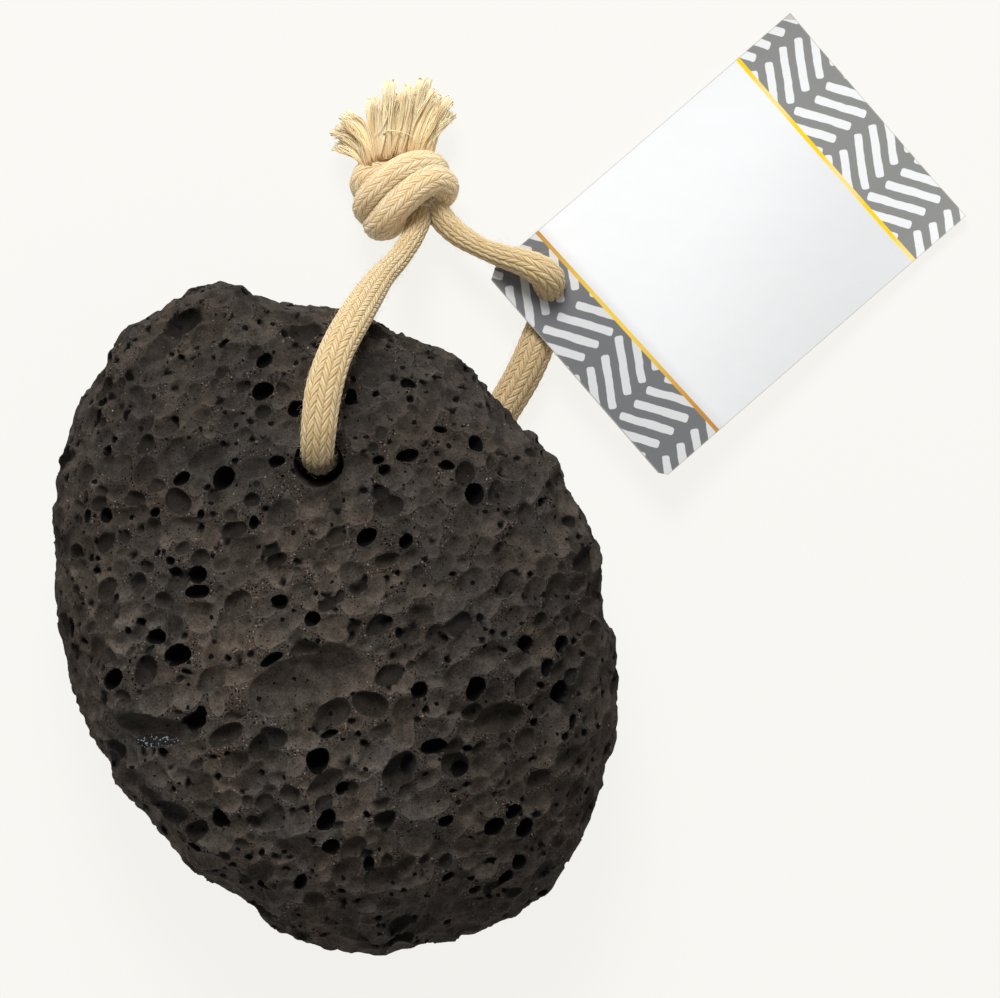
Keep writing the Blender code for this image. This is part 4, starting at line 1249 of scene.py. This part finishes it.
def crust_colour(s, place, uneven, grit):
    """The crust between the bubbles, gritty and warm, with pale flecks."""
    grains = s.mix(s.step(grit, 0.34, 0.66), (0.024, 0.0203, 0.0174), (0.088, 0.0750, 0.0640))
    flecks = s.dots(uneven, 2.3, 0.56, 0.12, 0.37)
    grains = s.mix(flecks * 0.8, grains, (0.215, 0.186, 0.163))
    warm = s.step(s.noise(place, 0.3, 3.0), 0.42, 0.65)
    return s.tint(grains, s.mix(warm, (0.95, 0.94, 0.93), (1.07, 0.98, 0.92)))


def wall_colour(s, place, fine, depth):
    """The walls of the bubbles, smooth and grey. Each bubble has its own tone and a painted highlight on
    its lip.
    """
    cloud = s.step(s.noise(place, 0.55, 3.0, 0.6), 0.32, 0.68)
    walls = s.mix(cloud, (0.035, 0.0292, 0.0242), (0.068, 0.0575, 0.0485))
    walls = s.mix(s.step(fine, 0.35, 0.75, 0.0, 0.35), walls, (0.030, 0.026, 0.022))
    dust = s.step(s.noise(place, 7.0, 2.0, 0.7), 0.35, 0.65)
    walls = s.tint(walls, s.mix(dust, 0.76, 1.26))
    mottle = s.step(s.noise(place, 2.7, 3.0, 0.75), 0.36, 0.64)
    walls = s.tint(walls, s.mix(mottle, 0.80, (1.22, 1.21, 1.20)))
    walls = s.tint(walls, s.mix(s.attribute("tone"), 0.63, (1.50, 1.49, 1.48)))
    # Painted highlight just inside each bubble's rim.
    rim_highlight = s.step(depth, 0.04, 0.12) * s.step(depth, 0.12, 0.40, 1.0, 0.0)
    return s.mix(rim_highlight * 0.35, walls, (0.090, 0.078, 0.067))


def stone_material():
    s = Shader("dark_pumice", {"Roughness": 0.95, "Specular IOR Level": 0.10})
    place = s.place()
    fine = s.noise(place, 2.2, 4.0, 0.7)
    grit = s.noise(place, 3.4, 4.0, 0.8)
    drift = s.add("ShaderNodeTexNoise", {"Vector": place, "Scale": 1.6, "Detail": 2.0}, "Color")
    uneven = s.moved(place, s.scaled(drift, 0.5))
    aside = s.moved(uneven, (3.3, 1.7, 5.1))
    depth = s.attribute("depth")
    crust = s.step(depth + (fine - 0.5) * 0.16, 0.03, 0.11, 1.0, 0.0)
    colour = s.mix(crust, wall_colour(s, place, fine, depth), crust_colour(s, place, uneven, grit))
    slow = s.step(s.noise(place, 0.10, 2.0), 0.35, 0.65)
    colour = s.tint(colour, s.mix(slow, (0.98, 1.01, 1.04), (1.18, 1.12, 1.06)))
    pale = s.step(s.away(place, PALE_PLACE), *PALE_REACH, 1.0, 0.0)
    colour = s.tint(colour, s.mix(pale, 0.74, 1.22))
    # Painted shade of pores too small to carve, as dark dots: many in the crust, and smaller ones in the
    # walls too.
    pore = s.dots(uneven, 2.1, 0.75, 0.10, 0.37) * crust
    prick = s.dots(uneven, 1.3, 0.65, 0.06, 0.20, 0.04)
    prick = s.larger(prick, s.dots(aside, 2.1, 0.55, 0.06, 0.20, 0.05))
    small = s.larger(pore, prick * 0.75)
    colour = s.mix(small, colour, (0.0035, 0.0032, 0.0030))
    # Painted glints on grains that catch the light.
    spark = s.dots(uneven, 1.6, 0.09, 0.08, 0.16, 0.04)
    colour = s.mix(spark, colour, (0.26, 0.24, 0.22))
    # The patch of crystals: dark ground with pale bluish grains.
    bits = s.dots(uneven, 2.1, 0.9, 0.14, 0.42)
    patch = s.mix(bits, (0.018, 0.018, 0.017), (0.30, 0.33, 0.37))
    colour = s.mix(s.step(s.attribute("crystals") + (fine - 0.5), 0.4, 0.6), colour, patch)
    # Painted shade of holes the size of a pencil point, as nearly black dots.
    hole = s.dots(uneven, 0.62, 0.42, 0.06, 0.25, 0.02)
    colour = s.mix(hole, colour, (0.0028, 0.0026, 0.0024))
    # Painted shade: bowls are darkened inside, and the deep bubbles and the drilled hole are painted nearly
    # black.
    bubble_shade = s.attribute("bubble_shade") * s.step(depth, 0.05, 0.20, 0.0, 0.80)
    colour = s.mix(bubble_shade, colour, (0.006, 0.0052, 0.0045))
    dark = s.attribute("black_shade") * s.step(depth, 0.10, 0.55)
    dark = s.larger(dark, s.step(depth, *HOLE_DARK))
    colour = s.mix(dark, colour, 0.002)
    height = grit * s.step(crust, 0.0, 1.0, 0.25, 1.2) - s.larger(small, hole) * 0.7
    return s.finish(colour, height, 0.28)


def painted_hole_shade(s, place):
    """Painted shade on the cord from the drilled hole: 1 where it is full, in the hole and at its mouth."""
    _, y, z = s.parts(place)
    mouth = s.step(s.away(place, HOLE_MOUTH), *MOUTH_SHADE, 1.0, 0.0)
    sunk = s.step(z, 34.0, 36.5, 1.0, 0.0) * s.step(z, 10.0, 14.0)
    sunk = sunk * s.step(y, 26.5, 29.0, 1.0, 0.0)
    return s.larger(mouth, sunk)


def braid_material(name, light, line_strength, scatter):
    """Braided cotton: its colour times light, a tint painted lighter or darker for how brightly it is lit,
    painted shade of this strength in the lines between its yarns and stitches, and light let in as deep as
    scatter says."""
    s = Shader(name, {
        "Roughness": 0.9,
        "Sheen Weight": 0.4,
        "Sheen Roughness": 0.6,
        "Sheen Tint": (0.95, 0.78, 0.55),
        "Subsurface Weight": 0.7,
        "Subsurface Radius": (0.0017, 0.0015, 0.0012),
        "Subsurface Scale": scatter,
    })
    column, row = s.laid_out("braid")
    number = math.floor(column)
    side = column - number - 0.5
    odd = number % 2.0
    lean = STITCH_LEAN - odd * (2 * STITCH_LEAN)
    along = row + (lean * side + odd * 0.5)
    stitch = math.floor(along)
    across = along - stitch
    yarns = across * YARNS_PER_STITCH
    yarn = math.floor(yarns)
    gap = s.step(abs(yarns - yarn - 0.5), 0.28, 0.5)
    edge = s.step(abs(across - 0.5), 0.34, 0.5)
    end = s.step(abs(side), 0.34, 0.5)
    crease = s.larger(edge, end * 0.8)
    place = s.place()
    fibre = s.noise(place, 5.0, 3.0, 0.7)
    stain = s.noise(place, 0.35, 2.0)
    colour = s.mix(s.chance(number, stitch, yarn), (0.73, 0.53, 0.27), (0.85, 0.67, 0.39))
    # Painted shade in the gaps between yarns and the creases between stitches, weaker where the cord lies
    # low.
    _, y, z = s.parts(place)
    lines = s.step(z, 8.0, 24.0, 0.5 * line_strength, line_strength)
    colour = s.mix(gap * (lines * 0.6), colour, (0.50, 0.32, 0.12))
    colour = s.mix(crease * (lines * 0.55), colour, (0.38, 0.22, 0.07))
    colour = s.mix(s.step(fibre, 0.50, 0.8, 0.0, 0.40), colour, (0.88, 0.77, 0.57))
    colour = s.mix(s.step(stain, 0.4, 0.7, 0.0, 0.25), colour, (0.74, 0.50, 0.22))
    # Painted light: lighter or darker for how brightly this part is lit.
    colour = s.tint(colour, light)
    # Painted shade: the cord is darker where it lies on the table close to the stone.
    low = s.step(z, 3.5, 7.0, 1.0, 0.0) * s.step(y, 44.0, 50.0, 1.0, 0.0)
    colour = s.mix(low * 0.6, colour, (0.40, 0.27, 0.14))
    # Painted shade where the cord goes into the drilled hole.
    colour = s.mix(painted_hole_shade(s, place), colour, (0.045, 0.030, 0.012))
    return s.finish(colour, fibre * 0.35 - gap - crease * 0.8, 0.10)


def thread_material():
    s = Shader("cotton_threads", {
        "Roughness": 0.9,
        "Sheen Weight": 0.3,
        "Subsurface Weight": 0.5,
        "Subsurface Radius": (0.0014, 0.0010, 0.0006),
    })
    fine = s.noise(s.place(), 4.0, 3.0, 0.7)
    tip = s.attribute("tip")
    colour = s.mix(s.attribute("tone"), (0.80, 0.60, 0.30), (0.90, 0.76, 0.50))
    colour = s.mix(s.step(fine, 0.5, 0.8, 0.0, 0.3), colour, (0.72, 0.50, 0.22))
    # Painted shade: darker towards a thread's foot, where the yarns go into the knot.
    colour = s.mix(s.step(tip, 0.0, 0.35, 0.55, 0.0), colour, (0.62, 0.36, 0.13))
    colour = s.mix(s.step(tip, 0.6, 1.0, 0.0, 0.4), colour, (0.88, 0.78, 0.58))
    return s.finish(colour, fine, 0.05)


def herringbone(s, along, across, far):
    """1 on the white dashes of the bands, and 0 between them."""
    column = (across - DASH_START) / DASH_COLUMN
    number = math.floor(column)
    side = (column - number - 0.5) * DASH_COLUMN
    odd = number % 2.0
    lean = odd * (2 * DASH_LEAN) - DASH_LEAN
    offset = far * (DASH_OFFSETS[1] - DASH_OFFSETS[0]) + DASH_OFFSETS[0]
    wave = s.noise(s.place(), 0.35, 2.0)
    path = along - offset - lean * side + (wave - 0.5) * 0.5
    first = number < (0.5 - far)
    path = path + first * (DASH_FIRST_SHIFT * DASH_SPACING)
    rank = round(path / DASH_SPACING)
    chance = s.chance(number, rank, far) - 0.5
    # Where the point is on its own dash: off its middle line, and along it from its middle.
    stretch = math.hypot(1.0, DASH_LEAN)
    off = (path - rank * DASH_SPACING) / stretch
    run = abs(side * stretch + lean * off + chance * 0.7)
    reach = chance * 0.5 + (DASH_HALF_LENGTH - DASH_CORNER)
    past = s.larger(run - reach, 0.0)
    wide = s.larger(abs(off) - (DASH_HALF_WIDTH - DASH_CORNER), 0.0)
    distance = s.math("SQRT", past * past + wide * wide)
    return s.step(distance, DASH_CORNER - PRINT_BLUR, DASH_CORNER + PRINT_BLUR, 1.0, 0.0)


def foil_colour(s, share, far):
    """Gold foil at a share of the card's width, with painted reflection: rippled and bright on the far
    line, dull on the other.
    """
    ripple = s.math("COSINE", share * (5.0 * math.pi))
    bright = s.mix(s.step(ripple, -1.0, 0.6), (0.93, 0.70, 0.24), (0.95, 0.62, 0.01))
    fade = s.step(abs(share - 0.45), 0.05, 0.50)
    dull = s.mix(fade, (0.80, 0.55, 0.08), (0.50, 0.24, 0.05))
    return s.mix(far, dull, bright)


def corner_and_edge_marks(s, colour, along, across):
    """The card's colour with its scuffed far corner and a thin darker line along its edges."""
    corner = TAG_LENGTH - along + across
    colour = s.mix(s.step(corner, 1.35, 1.45, 1.0, 0.0), colour, (0.57, 0.54, 0.49))
    inward = s.smaller(along, TAG_LENGTH - along)
    inward = s.smaller(inward, s.smaller(across, TAG_WIDTH - across))
    return s.mix(s.step(inward, 0.06, 0.20, 0.55, 0.0), colour, (0.42, 0.39, 0.34))


def tag_material():
    """White card with a grey band at each end, a herringbone of white dashes on it, and a gold line."""
    s = Shader("printed_card", {})
    along, across = s.laid_out("print")
    far = along > TAG_LENGTH / 2
    # The band at the threaded end is painted darker than the far band, as shade.
    ground = s.mix(far, (0.150, 0.153, 0.160), (0.235, 0.235, 0.228))
    dash = s.mix(far, (0.63, 0.635, 0.64), (0.78, 0.79, 0.80))
    band = s.mix(herringbone(s, along, across, far), ground, dash)
    lines = [across * ((end - start) / TAG_WIDTH) + start for start, end in GOLD_LINES]
    past_near, past_far = [along - line for line in lines]
    # Painted shade: the white grows greyer across the card towards its far corner.
    slant = along / TAG_LENGTH + across / (TAG_WIDTH / 1.6)
    centre = s.mix(s.step(slant, 0.9, 2.4), (0.80, 0.81, 0.82), (0.68, 0.69, 0.70))
    # Painted shade on the white just past the near gold line.
    line_shade = s.step(past_near, 0.2, 2.0, 0.35, 0.0)
    centre = s.mix(line_shade, centre, (0.52, 0.52, 0.51))
    colour = s.mix((past_near > 0.0) * (past_far < 0.0), band, centre)
    near = s.smaller(abs(past_near), abs(past_far))
    gold = s.step(near, GOLD_HALF_WIDTH - GOLD_BLUR, GOLD_HALF_WIDTH + GOLD_BLUR, 1.0, 0.0)
    colour = s.mix(gold, colour, foil_colour(s, across / TAG_WIDTH, far))
    colour = corner_and_edge_marks(s, colour, along, across)
    s.put(s.principled.inputs["Roughness"], s.mix(gold, 0.55, 0.3))
    fibre = s.noise(s.place(), 3.0, 4.0, 0.7)
    crumple = s.noise(s.place(), 0.12, 2.0)
    return s.finish(colour, fibre * 0.12 + crumple * 0.9, 0.12)


def card_edge_material():
    s = Shader("card_edge", {"Roughness": 0.8})
    fibre = s.noise(s.place(), 4.0, 3.0, 0.7)
    return s.finish(s.mix(fibre, (0.48, 0.44, 0.38), (0.62, 0.58, 0.51)), fibre, 0.05)


# ---- Camera, floor and light --------------------------------------------------------------------------
def make_camera():
    data = bpy.data.cameras.new("camera")
    data.lens = CAMERA_LENS
    data.sensor_width = CAMERA_SENSOR
    data.clip_start = 0.01
    data.clip_end = 10.0
    camera = bpy.data.objects.new("camera", data)
    camera.location = Vector(CAMERA_PLACE) * MM
    bpy.context.scene.collection.objects.link(camera)
    bpy.context.scene.camera = camera


def make_floor():
    side = FLOOR_SIDE / 2
    points = [(-side, -side, 0), (side, -side, 0), (side, side, 0), (-side, side, 0)]
    floor = bpy.data.objects.new("floor", new_mesh("floor", points, [(0, 1, 2, 3)], smooth=False))
    bpy.context.scene.collection.objects.link(floor)
    s = Shader("floor", {"Roughness": 0.9, "Emission Color": FLOOR_LIGHT, "Emission Strength": FLOOR_GLOW})
    floor.data.materials.append(s.finish(FLOOR_COLOUR))
    floor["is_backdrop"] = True


def make_light():
    world = bpy.data.worlds.new("studio")
    world.use_nodes = True
    background = world.node_tree.nodes["Background"]
    background.inputs["Color"].default_value = (*SKY_COLOUR, 1)
    background.inputs["Strength"].default_value = SKY_STRENGTH
    bpy.context.scene.world = world
    bpy.context.scene.view_settings.view_transform = "Standard"
    data = bpy.data.lights.new("key", "AREA")
    data.energy = KEY_POWER
    data.size = KEY_SIZE * MM
    lamp = bpy.data.objects.new("key", data)
    lamp.location = Vector(KEY_PLACE) * MM
    lamp.rotation_euler = (Vector(KEY_AIM) - Vector(KEY_PLACE)).to_track_quat("-Z", "Y").to_euler()
    bpy.context.scene.collection.objects.link(lamp)


def main():
    make_camera()
    make_floor()
    make_light()
    make_stone(stone_material())
    on_cord = [
        make_knot(braid_material("knot_braid", KNOT_PAINTED_LIGHT, 0.4, 0.5)),
        make_frayed_ends(thread_material()),
        make_tag(tag_material(), card_edge_material()),
    ]
    make_cord(braid_material("cord_braid", CORD_PAINTED_SHADE, 0.9, 0.35), on_cord)
    {"cad": CAD_BOX, "visual": [list(corner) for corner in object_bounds()]}


main()
